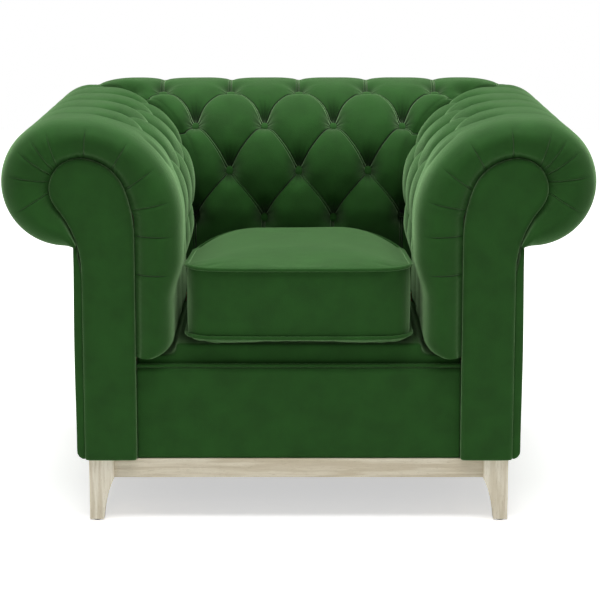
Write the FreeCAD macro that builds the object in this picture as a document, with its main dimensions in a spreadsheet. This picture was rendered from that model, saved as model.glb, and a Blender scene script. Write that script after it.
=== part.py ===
"""Chesterfield armchair: rolled and deep-tufted arms and back, loose seat cushion, pale wooden plinth.

X runs to the sitter's left, Y to the back and Z up. The origin lies on the floor under the middle of
the chair. Lengths are in millimetres.
"""
import FreeCAD
import Part
import math
import os
import Sketcher
from FreeCAD import Placement, Rotation, Vector

doc = FreeCAD.newDocument("chesterfield_armchair")
sheet = doc.addObject("Spreadsheet::Sheet", "sizes")

SIZES = [
    ("overall_width", 1060),
    ("overall_depth", 865),
    ("crest_height", 741),
    ("arm_crest_drop", 12),
    ("arm_width", 324),
    ("seat_width", "=overall_width - 2 * arm_width"),
    ("seat_depth", 529),
    ("front_bulge", 12),
    ("shoulder_radius", 183),
    ("roll_radius", 114),
    ("wall_pad", 87),
    ("waist_relief", 19),
    ("column_width", 92),
    ("scroll_offset", 94.5),
    ("scroll_small_radius", 52.5),
    ("scroll_large_radius", 83.5),
    ("scroll_drop", 69),
    ("throat_drop", 223),
    ("column_straight", "=crest_height - throat_drop"),
    ("underside_drop", 286),
    ("underside_start", "=crest_height - underside_drop"),
    ("pad_bottom", 303),
    ("liner_thickness", 3),
    ("liner_clearance", 2.5),
    ("roll_end_drop", 230),
    ("roll_end_height", "=crest_height - roll_end_drop"),
    ("pad_gap", 0.3),
    ("outside_thickness", 17.5),
    ("outside_drop", 241),
    ("outside_top", "=crest_height - outside_drop"),
    ("corner_round", 16),
    ("outside_front", 4),
    ("facing_thickness", 14),
    ("facing_edge", 4),
    ("board_thickness", 18),
    ("button_pitch", 140),
    ("first_button", 145),
    ("button_radius", 11),
    ("button_thickness", 7),
    ("button_rest_gap", 0.12),
    ("tuft_depth", 24),
    ("pleat_depth", 12),
    ("roll_pleat_depth", 9),
    ("pocket_half", 13),
    ("row_d_drop", 268),
    ("row_d_height", "=crest_height - row_d_drop"),
    ("row_c_angle", 3.3),
    ("row_b_angle", 39.6),
    ("row_a_angle", 72),
    ("leg_height", 114),
    ("leg_width", 45),
    ("foot_width", 25.5),
    ("leg_side_recess", 23.5),
    ("leg_front_recess", 6),
    ("leg_curve", 210),
    ("plinth_rail_height", 34.5),
    ("plinth_rail_thickness", 20),
    ("plinth_rail_recess", 8),
    ("glide_thickness", 3),
    ("glide_radius", 8),
    ("dust_cover_thickness", 1),
    ("rail_thickness", 25),
    ("seat_rail_top", 265),
    ("base_rail_height", 50),
    ("tack_rail_height", 50),
    ("tack_rail_top", "=outside_top"),
    ("tuck_rail_bottom", 296),
    ("tuck_rail_height", 44),
    ("top_rail_height", 48),
    ("top_rail_width", 40),
    ("top_rail_drop", 81),
    ("post_thickness", 22),
    ("post_spread", 225),
    ("corner_post_width", 40),
    ("block_width", 45),
    ("block_height", 30),
    ("bolt_radius", 4),
    ("bolt_head_radius", 7),
    ("bolt_head_height", 5),
    ("bolt_length", 70),
    ("bolt_clearance", 0.5),
    ("webbing_thickness", 2),
    ("webbing_width", 50),
    ("long_webbing_count", 5),
    ("cross_webbing_count", 4),
    ("deck_gap", 0.3),
    ("deck_shoulder", 302),
    ("deck_top", 322.7),
    ("deck_crown_margin", 3),
    ("border_recess", 17),
    ("border_top", 281),
    ("border_round", 8),
    ("welt_radius", 3.5),
    ("cushion_bottom", 323),
    ("cushion_crown", 482),
    ("cushion_low_seam", 339),
    ("cushion_high_seam", 463),
    ("cushion_side_gap", 4.4),
    ("cushion_back_gap", 4.6),
    ("cushion_front", 8),
    ("cushion_corner", 42),
    ("cushion_bow", 6),
    ("cushion_side_bow", 3),
    ("cushion_belly", 3),
    ("cover_thickness", 2),
    ("core_gap", 0.3),
    ("piping_radius", 3.5),
    ("zip_length", 360),
    ("zip_width", 16),
    ("zip_thickness", 1.6),
]

for row, (alias, amount) in enumerate(SIZES, start=1):
    sheet.set(f"A{row}", alias)
    sheet.set(f"B{row}", str(amount))
    sheet.setAlias(f"B{row}", alias)
doc.recompute()


def size(alias):
    """Return one driving size of the sheet."""
    return float(sheet.get(alias))


def number(formula):
    """Return the present value of a formula over the sheet's sizes."""
    result = sheet.evalExpression(formula)
    return float(getattr(result, "Value", result))


FACE = "(sizes.front_bulge - sizes.overall_depth / 2)"
INNER = "(sizes.seat_width / 2)"
COLUMN_IN = f"({INNER} + sizes.wall_pad)"
COLUMN_OUT = f"({COLUMN_IN} + sizes.column_width)"
SIDE = f"({COLUMN_OUT} + sizes.outside_thickness)"
BACK_IN = f"({FACE} + sizes.seat_depth + sizes.wall_pad)"
BACK_OUT = f"({BACK_IN} + sizes.column_width)"
REAR = f"({BACK_OUT} + sizes.outside_thickness)"
FRAME_BOTTOM = "(sizes.leg_height + sizes.dust_cover_thickness)"
BOARD_FRONT = f"({FACE} + sizes.facing_thickness)"
BOARD_BACK = f"({BOARD_FRONT} + sizes.board_thickness)"
ARM_CREST = "(sizes.crest_height - sizes.arm_crest_drop)"
FOOT_FRONT = f"({FACE} + sizes.leg_front_recess)"
FOOT_REAR = f"({REAR} - sizes.leg_side_recess)"
FOOT_SIDE = f"({SIDE} - sizes.leg_side_recess)"
FLOOR = "(sizes.glide_thickness)"
NODES = []
SIDES = (("left", 1), ("right", -1))


def node(item, name):
    """Name a finished sub-part and note it for export."""
    item.Label = name
    NODES.append(item)
    return item


def place(item, x="0", y="0", z="0"):
    """Bind the position of a sub-part to formulas."""
    item.setExpression("Placement.Base.x", x)
    item.setExpression("Placement.Base.y", y)
    item.setExpression("Placement.Base.z", z)


def box(name, x0, x1, y0, y1, z0, z1):
    """Return a block between pairs of formulas along X, Y and Z."""
    item = doc.addObject("Part::Box", name)
    item.setExpression("Length", f"({x1}) - ({x0})")
    item.setExpression("Width", f"({y1}) - ({y0})")
    item.setExpression("Height", f"({z1}) - ({z0})")
    place(item, x0, y0, z0)
    return item


def side_box(name, sign, inner, outer, y0, y1, z0, z1):
    """Return a block of one arm, between two distances from the chair's middle plane."""
    if sign > 0:
        return box(name, inner, outer, y0, y1, z0, z1)
    return box(name, f"-{outer}", f"-{inner}", y0, y1, z0, z1)


def round_bar(name, radius, height, x, y, z):
    """Return an upright eight-sided bar with its foot at a point given by formulas."""
    item = doc.addObject("Part::Prism", name)
    item.Polygon = 8
    item.setExpression("Circumradius", radius)
    item.setExpression("Height", height)
    place(item, x, y, z)
    return item


def group(name, items):
    """Return several loose solids as one node."""
    item = doc.addObject("Part::Compound", name)
    item.Links = items
    return item


def cut(name, base, tools):
    """Return a block with the tools taken out of it."""
    item = doc.addObject("Part::Cut", name)
    item.Base = base
    item.Tool = tools[0] if len(tools) == 1 else group(f"{name}_tools", tools)
    return item


def base_plane(body, role):
    """Return one origin plane of a body."""
    return [part for part in body.Origin.OriginFeatures if part.Role == role][0]


def new_sketch(body, name, role):
    """Add a sketch on an origin plane of a body."""
    sketch = body.newObject("Sketcher::SketchObject", name)
    sketch.AttachmentSupport = [(base_plane(body, role), "")]
    sketch.MapMode = "FlatFace"
    return sketch


def bind(sketch, kind, *references, formula):
    """Add a sketch constraint whose value follows a formula."""
    index = sketch.addConstraint(Sketcher.Constraint(kind, *references, number(formula)))
    sketch.setExpression(f"Constraints[{index}]", formula)


def arc_between(start, end, radius, clockwise):
    """Return the shorter circular arc of a radius from one point to another."""
    middle = (start + end) * 0.5
    chord = end - start
    rise = math.sqrt(max(radius ** 2 - (chord.Length / 2) ** 2, 0))
    normal = Vector(-chord.y, chord.x, 0).normalize()
    center = middle - normal * rise if clockwise else middle + normal * rise
    first = math.atan2(start.y - center.y, start.x - center.x)
    last = math.atan2(end.y - center.y, end.x - center.x)
    circle = Part.Circle(center, Vector(0, 0, 1), radius)
    if clockwise:
        return Part.ArcOfCircle(circle, last, first), (2, 1)
    return Part.ArcOfCircle(circle, first, last), (1, 2)


def outline_sketch(body, name, role, corners, arcs=None):
    """Add a closed sketch whose corners are pairs of formulas; arcs maps an edge to radius and sense."""
    sketch = new_sketch(body, name, role)
    arcs = arcs or {}
    points = [Vector(number(x), number(y), 0) for x, y in corners]
    ends = []
    for index, start in enumerate(points):
        end = points[(index + 1) % len(points)]
        if index in arcs:
            radius, clockwise = arcs[index]
            curve, order = arc_between(start, end, number(radius), clockwise)
        else:
            curve, order = Part.LineSegment(start, end), (1, 2)
        sketch.addGeometry(curve, False)
        ends.append(order)
    for index in range(len(points)):
        after = (index + 1) % len(points)
        sketch.addConstraint(
            Sketcher.Constraint("Coincident", index, ends[index][1], after, ends[after][0])
        )
    for index, (x, y) in enumerate(corners):
        bind(sketch, "DistanceX", -1, 1, index, ends[index][0], formula=x)
        bind(sketch, "DistanceY", -1, 1, index, ends[index][0], formula=y)
    for index, (radius, _) in arcs.items():
        bind(sketch, "Radius", index, formula=radius)
    return sketch


def pad_up(body, sketch, name, length, backward=False):
    """Pad a sketch by a formula."""
    feature = body.newObject("PartDesign::Pad", name)
    feature.Profile = sketch
    feature.Reversed = backward
    feature.setExpression("Length", length)
    doc.recompute()
    return feature


def bevel_edges(body, name, amount, wanted):
    """Bevel the edges of a body whose middle point passes a test."""
    tip = body.Tip
    names = []
    for index, edge in enumerate(body.Shape.Edges, start=1):
        if wanted(edge.valueAt((edge.FirstParameter + edge.LastParameter) / 2)):
            names.append(f"Edge{index}")
    feature = body.newObject("PartDesign::Chamfer", name)
    feature.Base = (tip, names)
    feature.setExpression("Size", amount)
    doc.recompute()
    return feature


def scroll_arcs():
    """Return the arcs of the arm's scroll as centre, radius and the points where they meet.

    U runs outward from the padded wall of the seat and Z up, as on an arm.
    """
    wall = size("wall_pad")
    outer = wall + size("column_width")
    small = size("scroll_small_radius")
    large = size("scroll_large_radius")
    top = size("crest_height") - size("arm_crest_drop") - size("scroll_drop")
    head = Vector(wall + size("scroll_offset"), top - small, 0)
    brow = Vector(head.x, top - large, 0)
    rise = brow.y - size("column_straight")
    reach = head.x - wall
    throat_radius = (reach ** 2 + rise ** 2 - large ** 2) / (2 * (reach - large))
    throat = Vector(wall + throat_radius, size("column_straight"), 0)
    drop = head.y - size("underside_start")
    lean = outer - head.x
    under_radius = (drop ** 2 + lean ** 2 - small ** 2) / (2 * (small - lean))
    under = Vector(outer + under_radius, size("underside_start"), 0)
    throat_end = brow + (brow - throat).normalize() * large
    crown = Vector(head.x, top, 0)
    under_start = head + (under - head).normalize() * small
    return {
        "throat": (throat, throat_radius, Vector(wall, throat.y, 0), throat_end),
        "brow": (brow, large, throat_end, crown),
        "head": (head, small, crown, under_start),
        "under": (under, under_radius, under_start, Vector(outer, under.y, 0)),
    }


def scroll_sketch(body, name, role, shift, flip, lift, bottom):
    """Add the constrained scroll outline to a body.

    The shift formula moves it along the sketch's first axis, flip mirrors it and lift raises it.
    """
    arcs = scroll_arcs()
    origin = number(shift)
    rise = number(lift)
    floor = number(bottom)

    def spot(point):
        return Vector(origin + flip * point.x, point.y + rise, 0)

    sketch = new_sketch(body, name, role)
    wall = Vector(size("wall_pad"), 0, 0)
    outer = Vector(size("wall_pad") + size("column_width"), 0, 0)
    low_in = Vector(spot(wall).x, floor, 0)
    low_out = Vector(spot(outer).x, floor, 0)
    curves = [(Part.LineSegment(low_in, spot(arcs["throat"][2])), (1, 2))]
    for key in ("throat", "brow", "head", "under"):
        center, radius, start, end = arcs[key]
        clockwise = (key != "under") == (flip > 0)
        middle = spot(center)
        first = math.atan2(spot(start).y - middle.y, spot(start).x - middle.x)
        last = math.atan2(spot(end).y - middle.y, spot(end).x - middle.x)
        circle = Part.Circle(middle, Vector(0, 0, 1), radius)
        if clockwise:
            curves.append((Part.ArcOfCircle(circle, last, first), (2, 1)))
        else:
            curves.append((Part.ArcOfCircle(circle, first, last), (1, 2)))
    curves.append((Part.LineSegment(spot(arcs["under"][3]), low_out), (1, 2)))
    curves.append((Part.LineSegment(low_out, low_in), (1, 2)))
    ends = [order for _, order in curves]
    for curve, _ in curves:
        sketch.addGeometry(curve, False)
    for index in range(5):
        sketch.addConstraint(
            Sketcher.Constraint("Tangent", index, ends[index][1], index + 1, ends[index + 1][0])
        )
    for index in (5, 6):
        after = (index + 1) % 7
        sketch.addConstraint(
            Sketcher.Constraint("Coincident", index, ends[index][1], after, ends[after][0])
        )
    sign = "" if flip > 0 else "-"
    in_x = f"{shift} + {sign}1 * sizes.wall_pad"
    out_x = f"{shift} + {sign}1 * (sizes.wall_pad + sizes.column_width)"
    head_x = f"{shift} + {sign}1 * (sizes.wall_pad + sizes.scroll_offset)"
    top_z = f"{ARM_CREST} - sizes.scroll_drop + {lift}"
    bind(sketch, "DistanceX", -1, 1, 0, 1, formula=in_x)
    bind(sketch, "DistanceY", -1, 1, 0, 1, formula=bottom)
    sketch.addConstraint(Sketcher.Constraint("Vertical", 0))
    bind(sketch, "DistanceY", -1, 1, 0, 2, formula=f"sizes.column_straight + {lift}")
    bind(sketch, "Radius", 2, formula="sizes.scroll_large_radius")
    bind(sketch, "Radius", 3, formula="sizes.scroll_small_radius")
    bind(sketch, "DistanceX", -1, 1, 3, 3, formula=head_x)
    bind(sketch, "DistanceY", -1, 1, 3, 3, formula=f"{top_z} - sizes.scroll_small_radius")
    bind(sketch, "DistanceX", -1, 1, 2, 3, formula=head_x)
    bind(sketch, "DistanceX", -1, 1, 5, 1, formula=out_x)
    bind(sketch, "DistanceY", -1, 1, 5, 1, formula=f"sizes.underside_start + {lift}")
    sketch.addConstraint(Sketcher.Constraint("Vertical", 5))
    bind(sketch, "DistanceY", -1, 1, 5, 2, formula=bottom)
    return sketch


def ray_radius(start, angle):
    """Return how far a ray from inside the scroll runs before it leaves the scroll."""
    heading = Vector(math.cos(angle), math.sin(angle), 0)
    hits = []
    for center, radius, first, last in scroll_arcs().values():
        offset = start - center
        along = offset.dot(heading)
        root = along ** 2 - offset.dot(offset) + radius ** 2
        if root < 0:
            continue
        for sign in (1, -1):
            reach = -along + sign * math.sqrt(root)
            point = start + heading * reach
            bisector = (first - center).normalize() + (last - center).normalize()
            aperture = (first - center).getAngle(bisector) + 0.01
            if reach > 0 and (point - center).getAngle(bisector) <= aperture:
                hits.append(reach)
    return min(hits)


def stations():
    """Return the lines from the lining to the crown of a pad, up the wall and over the roll.

    Each station holds its inner and outer point in U and Z, the phase of the tufting (0 at the rows
    of the crest, 1 half a pitch aside) and the depth of the folds.
    """
    skin = size("liner_thickness") + size("liner_clearance")
    wall = size("wall_pad") - skin
    radius = size("shoulder_radius")
    roll = size("roll_radius")
    crest = size("crest_height") - size("arm_crest_drop")
    shoulder = Vector(radius, crest - radius, 0)
    roll_center = Vector((size("overall_width") - size("seat_width")) / 2 - roll, crest - roll, 0)
    tuft = size("tuft_depth")
    row_d = size("row_d_height") - size("arm_crest_drop") / 2
    relief = size("waist_relief")
    low = size("pad_bottom")
    lines = []
    lines.append((Vector(wall, low, 0), Vector(relief, low, 0), 1, tuft * 0.25))
    bend = low + (row_d - low) * 0.6
    lines.append((Vector(wall, bend, 0), Vector(relief, bend, 0), 1, tuft * 0.5))
    lines.append((Vector(wall, row_d, 0), Vector(relief * 0.15, row_d, 0), 1, tuft))
    middle = (row_d + shoulder.y) / 2
    lines.append((Vector(wall, middle, 0), Vector(0, middle, 0), 0.5, size("pleat_depth")))
    rows = [(size("row_c_angle"), 0), (size("row_b_angle"), 1), (size("row_a_angle"), 0)]
    steps = [(rows[0][0], 0.0, tuft)]
    for (angle, phase), (after, next_phase) in zip(rows, rows[1:]):
        for step in (1 / 3, 2 / 3, 1):
            mix = phase + (next_phase - phase) * step
            swell = abs(2 * mix - 1)
            depth = size("pleat_depth") + (tuft - size("pleat_depth")) * swell
            if after == rows[2][0]:
                depth -= step * tuft * 0.4
            steps.append((angle + (after - angle) * step, mix, depth))
    steps.append((90.0, 0.0, size("roll_pleat_depth")))
    for degrees, phase, depth in steps:
        angle = math.radians(180 - degrees)
        heading = Vector(math.cos(angle), math.sin(angle), 0)
        if degrees < 15:
            height = shoulder.y + radius * math.sin(angle)
            inner = Vector(wall + 0.5, height, 0)
        else:
            inner = shoulder + heading * (ray_radius(shoulder, angle) + skin)
        lines.append((inner, shoulder + heading * radius, phase, depth))
    fan = 18
    for degrees in range(90, -91, -fan):
        angle = math.radians(degrees)
        heading = Vector(math.cos(angle), math.sin(angle), 0)
        inner = roll_center + heading * (ray_radius(roll_center, angle) + skin)
        lines.append((inner, roll_center + heading * roll, 0, size("roll_pleat_depth")))
    under = scroll_arcs()["under"]
    level = size("roll_end_height")
    edge = under[0].x - math.sqrt(under[1] ** 2 - (level - under[0].y) ** 2)
    inner = Vector(edge + skin, level, 0)
    lines.append((inner, inner + Vector(5, -7, 0), 0, size("roll_pleat_depth") * 0.2))
    return lines


ARC_FACETS = 4


def pocket(phase, depth):
    """Return how far the middle of a button pocket lies under the crown at a phase of the tufting."""
    return -(depth + 4) * max(0.0, 1 - 2 * phase)


def chain(points, middles, fence, to_space):
    """Return the points of a closed section: an arc over each span that has a middle, else a line.

    The fence gives how far from the middle of its pad the section reaches at a height.
    """
    places = []
    count = len(points)
    for index in range(count):
        start = Vector(*points[index], 0)
        end = Vector(*points[(index + 1) % count], 0)
        places.append(start)
        if middles[index] is not None:
            arc = Part.Arc(start, Vector(*middles[index], 0), end)
            steps = [(step + 1) / ARC_FACETS for step in range(ARC_FACETS - 1)]
            reach = arc.LastParameter - arc.FirstParameter
            places += [arc.value(arc.FirstParameter + reach * step) for step in steps]
    kept = [(max(-fence(place.y), min(fence(place.y), place.x)), place.y) for place in places]
    return [to_space(place) for place in kept]


def arch(start, end, crown):
    """Return the middle point of a pillow between two folds, risen to the crown line."""
    span = (end[0] - start[0]) / 2
    foot = (start[1] + end[1]) / 2
    lean = 0.14 * abs(end[1] - start[1])
    rise = max(min(crown - lean - foot, 0.9 * span), -0.6 * span)
    return ((start[0] + end[0]) / 2, foot + rise)


def arm_section(line):
    """Return an arm pad's corners, arc middles and mitre at a station, in depth and height over the lining."""
    inner, outer, phase, depth = line
    thick = (outer - inner).Length
    gap = size("pad_gap")
    depth = min(depth, 0.4 * thick)
    bulge = size("front_bulge") * min(1.0, thick / size("shoulder_radius") * 3)
    pitch = size("button_pitch")
    first = size("first_button")
    half = size("pocket_half")
    spread = half + (pitch / 2 - 2 * half) * phase
    nose = first / 3

    def mitre(height):
        reach = inner.x + (outer.x - inner.x) * height / thick
        return reach + size("seat_depth") - gap

    valleys = []
    for count in range(3):
        middle = first + pitch * count
        valleys.append(middle - spread)
        valleys.append(middle + spread)
    far = mitre(thick)
    last = first + pitch * 2.5 + half
    valleys.append((far - half * 0.6) * (1 - phase) + last * phase)
    limit = mitre(thick - depth)
    for index, place_y in enumerate(valleys):
        valleys[index] = min(place_y, limit - 4 * (len(valleys) - index))
    points = [(nose * 0.15, 0), (nose * 0.04, thick * 0.8), (nose, thick - depth * 0.12)]
    points += [(place_y, thick - depth) for place_y in valleys]
    points += [(limit, thick - depth), (mitre(0), 0)]
    middles = [(-bulge, thick * 0.42), (nose * 0.38, thick * 0.955)]
    for index in range(2, len(points) - 2):
        middles.append(arch(points[index], points[index + 1], thick))
    for count in range(3):
        index = 3 + 2 * count
        low = thick + pocket(phase, depth)
        middles[index] = arch(points[index], points[index + 1], low)
        if count < 2:
            low = thick + pocket(1 - phase, depth)
            middles[index + 1] = arch(points[index + 1], points[index + 2], low)
    low = thick + pocket(1 - phase, depth)
    middles[8] = arch(points[8], points[9], low)
    middles += [None, None]
    return points, middles, mitre


def back_section(line):
    """Return the back pad's corners, arc middles and mitre at a station, from one mitre to the other."""
    inner, outer, phase, depth = line
    thick = (outer - inner).Length
    gap = size("pad_gap")
    depth = min(depth, 0.4 * thick)
    pitch = size("button_pitch")
    half = size("pocket_half")
    spread = half + (pitch / 2 - 2 * half) * phase
    wall = size("seat_width") / 2

    def mitre(height):
        return wall + inner.x + (outer.x - inner.x) * height / thick - gap

    limit = mitre(thick - depth)
    spots = [spread]
    for count in (1, 2):
        spots += [pitch * count - spread, pitch * count + spread]
    for index, spot in enumerate(spots):
        spots[index] = min(spot, limit - 4 * (len(spots) - index))
    valleys = [-spot for spot in reversed(spots)] + spots
    points = [(-mitre(0), 0), (-limit, thick - depth)]
    points += [(spot, thick - depth) for spot in valleys]
    points += [(limit, thick - depth), (mitre(0), 0)]
    middles = [None]
    for index in range(1, len(points) - 2):
        middles.append(arch(points[index], points[index + 1], thick))
    for order, index in enumerate(range(2, len(points) - 3)):
        low = thick + pocket(phase if order % 2 == 0 else 1 - phase, depth)
        middles[index] = arch(points[index], points[index + 1], low)
    middles += [None, None]
    return points, middles, mitre


def at_station(line, to_world):
    """Return a function from depth and height over the lining to a point of space."""
    inner, outer = line[0], line[1]
    rise = (outer - inner).normalize()

    def spot(point):
        along, height = point
        return to_world(inner.x + rise.x * height, along, inner.y + rise.y * height)

    return spot


def arm_space(sign):
    """Return the map from an arm's U, depth and Z to space."""
    face = number(FACE)
    wall = size("seat_width") / 2
    return lambda u, depth, z: Vector(sign * (wall + u), face + depth, z)


def back_space():
    """Return the map from the back's U, sideways place and Z to space."""
    wall = number(FACE) + size("seat_depth")
    lift = size("arm_crest_drop")
    return lambda u, along, z: Vector(along, wall + u, z + lift)


def faceted(rings):
    """Return a solid between closed rings of points, with flat facets from each ring to the next."""
    faces = [Part.Face(Part.makePolygon(ring + ring[:1])) for ring in (rings[0], rings[-1])]
    for low, high in zip(rings, rings[1:]):
        for index in range(len(low)):
            after = (index + 1) % len(low)
            for corner in ((low[index], low[after], high[after]), (low[index], high[after], high[index])):
                faces.append(Part.Face(Part.makePolygon([*corner, corner[0]])))
    shell = Part.makeShell(faces)
    shell.sewShape()
    solid = Part.Solid(shell)
    if solid.Volume < 0:
        solid.reverse()
    return solid


def shaped(name, shape):
    """Add a shape worked out from the sheet as a named sub-part."""
    item = doc.addObject("Part::Feature", name)
    item.Shape = shape
    item.Placement = Placement()
    return node(item, name)


def lining_strip(to_world, start, mitre_start):
    """Return the thin lining under a pad, from a depth to its mitre."""
    skin = size("liner_thickness")
    lines = stations()
    wires = []
    for index, line in enumerate(lines):
        rise = (line[1] - line[0]).normalize()
        outer = line[0] - rise * size("pad_gap")
        inner = outer - rise * skin
        ends = [(start(outer.x), outer), (mitre_start + outer.x, outer)]
        ends += [(mitre_start + inner.x, inner), (start(inner.x), inner)]
        wires.append([to_world(point.x, along, point.y) for along, point in ends])
    return faceted(wires)


def button_solid(center, rise, along):
    """Return one covered button: an eight-sided disc with a chamfered rim, facing along rise."""
    across = rise.cross(along)
    rings = []
    radius = size("button_radius")
    thick = size("button_thickness")
    for height, share in ((0, 1.0), (thick, 0.62)):
        corners = []
        for step in range(8):
            angle = math.radians(45 * step + 22.5)
            aside = along * math.cos(angle) + across * math.sin(angle)
            corners.append(center + rise * height + aside * radius * share)
        rings.append(corners)
    return faceted(rings)


def button_rows():
    """Return the stations of the button rows, from row A at the crest down to row D, with their phase."""
    tuft = size("tuft_depth")
    chosen = []
    for line in stations():
        row = line[2] in (0, 1) and line[3] > 0.55 * tuft and line[0].y > size("pad_bottom") + 100
        if row and line[1].x < size("shoulder_radius"):
            chosen.append(line)
    return chosen[::-1]


def facets_near(rings, place, reach):
    """Return the facets between the rings that lie within reach of a place."""
    near = []
    for low, high in zip(rings, rings[1:]):
        for index in range(len(low)):
            after = (index + 1) % len(low)
            for corners in ((low[index], low[after], high[after]), (low[index], high[after], high[index])):
                middle = (corners[0] + corners[1] + corners[2]) / 3
                if middle.distanceToPoint(place) < reach:
                    near.append(corners)
    return near


def drop_to(facets, place, rise):
    """Return how far a place stands over the highest facet below or above it, measured along rise."""
    drops = []
    for first, second, third in facets:
        normal = (second - first).cross(third - first)
        slope = normal.dot(rise)
        if abs(slope) < 1e-6:
            continue
        drop = normal.dot(place - first) / slope
        foot = place - rise * drop
        sides = []
        for start, end in ((first, second), (second, third), (third, first)):
            sides.append((end - start).cross(foot - start).dot(normal))
        if min(sides) >= 0 or max(sides) <= 0:
            drops.append(drop)
    return min(drops, default=None)


def buttons(spots, to_world, rings):
    """Return a group of buttons that rest in the pockets of a pad, from stations and places along it."""
    solids = []
    reach = 4 * size("button_radius")
    for line, along in spots:
        spot = at_station(line, to_world)
        thick = (line[1] - line[0]).Length
        low = spot((along, thick - line[3]))
        rise = (spot((along, thick)) - low).normalize()
        aside = (spot((along + 10, thick - line[3])) - low).normalize()
        across = rise.cross(aside)
        facets = facets_near(rings, low, reach)
        lift = 0
        for step in range(16):
            angle = math.radians(22.5 * step)
            for share in (0.5, 0.96, 1.0):
                radius = size("button_radius") * share
                rim = low + (aside * math.cos(angle) + across * math.sin(angle)) * radius
                drop = drop_to(facets, rim, rise)
                if drop is not None and abs(drop) < reach / 2:
                    lift = max(lift, -drop)
        low += rise * (lift + size("button_rest_gap"))
        solids.append(button_solid(low, rise, aside))
    return Part.makeCompound(solids)


def arm_button_spots():
    """Return the button places of an arm."""
    pitch = size("button_pitch")
    spots = []
    for line in button_rows():
        for count in range(3):
            spots.append((line, size("first_button") + pitch * (count + 0.5 * line[2])))
    return spots


def back_button_spots():
    """Return the button places of the back."""
    pitch = size("button_pitch")
    spots = []
    for line in button_rows():
        reach = size("seat_width") / 2 + line[1].x - 1.2 * size("button_radius")
        first = 0.5 * line[2]
        places = [first * pitch + pitch * count for count in range(3)]
        for along in places:
            if along < reach:
                spots.append((line, along))
                if along > 0:
                    spots.append((line, -along))
    return spots


LINES = stations()
MITRE = size("seat_depth") - size("pad_gap")
for side, sign in SIDES:
    space = arm_space(sign)
    rings = []
    for line in LINES:
        rings.append(chain(*arm_section(line), at_station(line, space)))
    shaped(f"arm_pad_{side}", faceted(rings))
    shaped(f"arm_buttons_{side}", buttons(arm_button_spots(), space, rings))
    shaped(f"arm_lining_{side}", lining_strip(space, lambda u: size("facing_thickness"), MITRE))

half_seat = size("seat_width") / 2 - size("pad_gap")
rings = []
for line in LINES:
    rings.append(chain(*back_section(line), at_station(line, back_space())))
shaped("back_pad", faceted(rings))
shaped("back_buttons", buttons(back_button_spots(), back_space(), rings))
shaped("back_lining", lining_strip(back_space(), lambda u: -half_seat - u, half_seat))

# Plinth: four tapered legs and the rails between them, with glides, corner blocks and bolts.
RAIL_FRONT = f"({FOOT_FRONT} + sizes.plinth_rail_recess)"
RAIL_REAR = f"({FOOT_REAR} - sizes.plinth_rail_recess)"
RAIL_SIDE = f"({FOOT_SIDE} - sizes.plinth_rail_recess)"
RAIL_LOW = "(sizes.leg_height - sizes.plinth_rail_height)"
LEG_IN = f"({FOOT_SIDE} - sizes.leg_width)"


def leg(name, side_sign, end_sign):
    """Return a leg that is square above and tapers in a hollow curve on its two inner faces."""
    body = doc.addObject("PartDesign::Body", name)
    back = "" if side_sign > 0 else "-"
    outer = f"{back}1 * {FOOT_SIDE}"
    corners = [
        (outer, "sizes.leg_height"),
        (f"{outer} - {side_sign} * sizes.leg_width", "sizes.leg_height"),
        (f"{outer} - {side_sign} * sizes.leg_width", RAIL_LOW),
        (f"{outer} - {side_sign} * sizes.foot_width", FLOOR),
        (outer, FLOOR),
    ]
    sketch = outline_sketch(
        body, f"{name}_face", "XZ_Plane", corners, {2: ("sizes.leg_curve", side_sign > 0)}
    )
    pad_up(body, sketch, f"{name}_block", "sizes.leg_width", backward=True)
    y0 = FOOT_FRONT if end_sign < 0 else f"({FOOT_REAR} - sizes.leg_width)"
    near = "0" if end_sign > 0 else "sizes.leg_width"
    toe = "(sizes.leg_width - sizes.foot_width)" if end_sign > 0 else "sizes.foot_width"
    waste = [
        (near, RAIL_LOW),
        (toe, FLOOR),
        (toe, f"{FLOOR} - 1"),
        (near, f"{FLOOR} - 1"),
    ]
    side_sketch = outline_sketch(
        body, f"{name}_taper", "YZ_Plane", waste, {0: ("sizes.leg_curve", end_sign > 0)}
    )
    pocket_cut = body.newObject("PartDesign::Pocket", f"{name}_hollow")
    pocket_cut.Profile = side_sketch
    pocket_cut.Type = 1
    pocket_cut.Midplane = True
    doc.recompute()
    body.setExpression("Placement.Base.y", y0)
    doc.recompute()
    return node(body, name)


for side, sign in SIDES:
    leg(f"leg_front_{side}", sign, -1)
    leg(f"leg_back_{side}", sign, 1)

front_rail = box(
    "plinth_rail_front", f"-{LEG_IN}", LEG_IN, RAIL_FRONT,
    f"{RAIL_FRONT} + sizes.plinth_rail_thickness", RAIL_LOW, "sizes.leg_height",
)
node(front_rail, "plinth_rail_front")
back_rail = box(
    "plinth_rail_back", f"-{LEG_IN}", LEG_IN, f"{RAIL_REAR} - sizes.plinth_rail_thickness",
    RAIL_REAR, RAIL_LOW, "sizes.leg_height",
)
node(back_rail, "plinth_rail_back")
for side, sign in SIDES:
    rail = side_box(
        f"plinth_rail_{side}", sign, f"({RAIL_SIDE} - sizes.plinth_rail_thickness)", RAIL_SIDE,
        f"{FOOT_FRONT} + sizes.leg_width", f"{FOOT_REAR} - sizes.leg_width",
        RAIL_LOW, "sizes.leg_height",
    )
    node(rail, f"plinth_rail_{side}")

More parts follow.
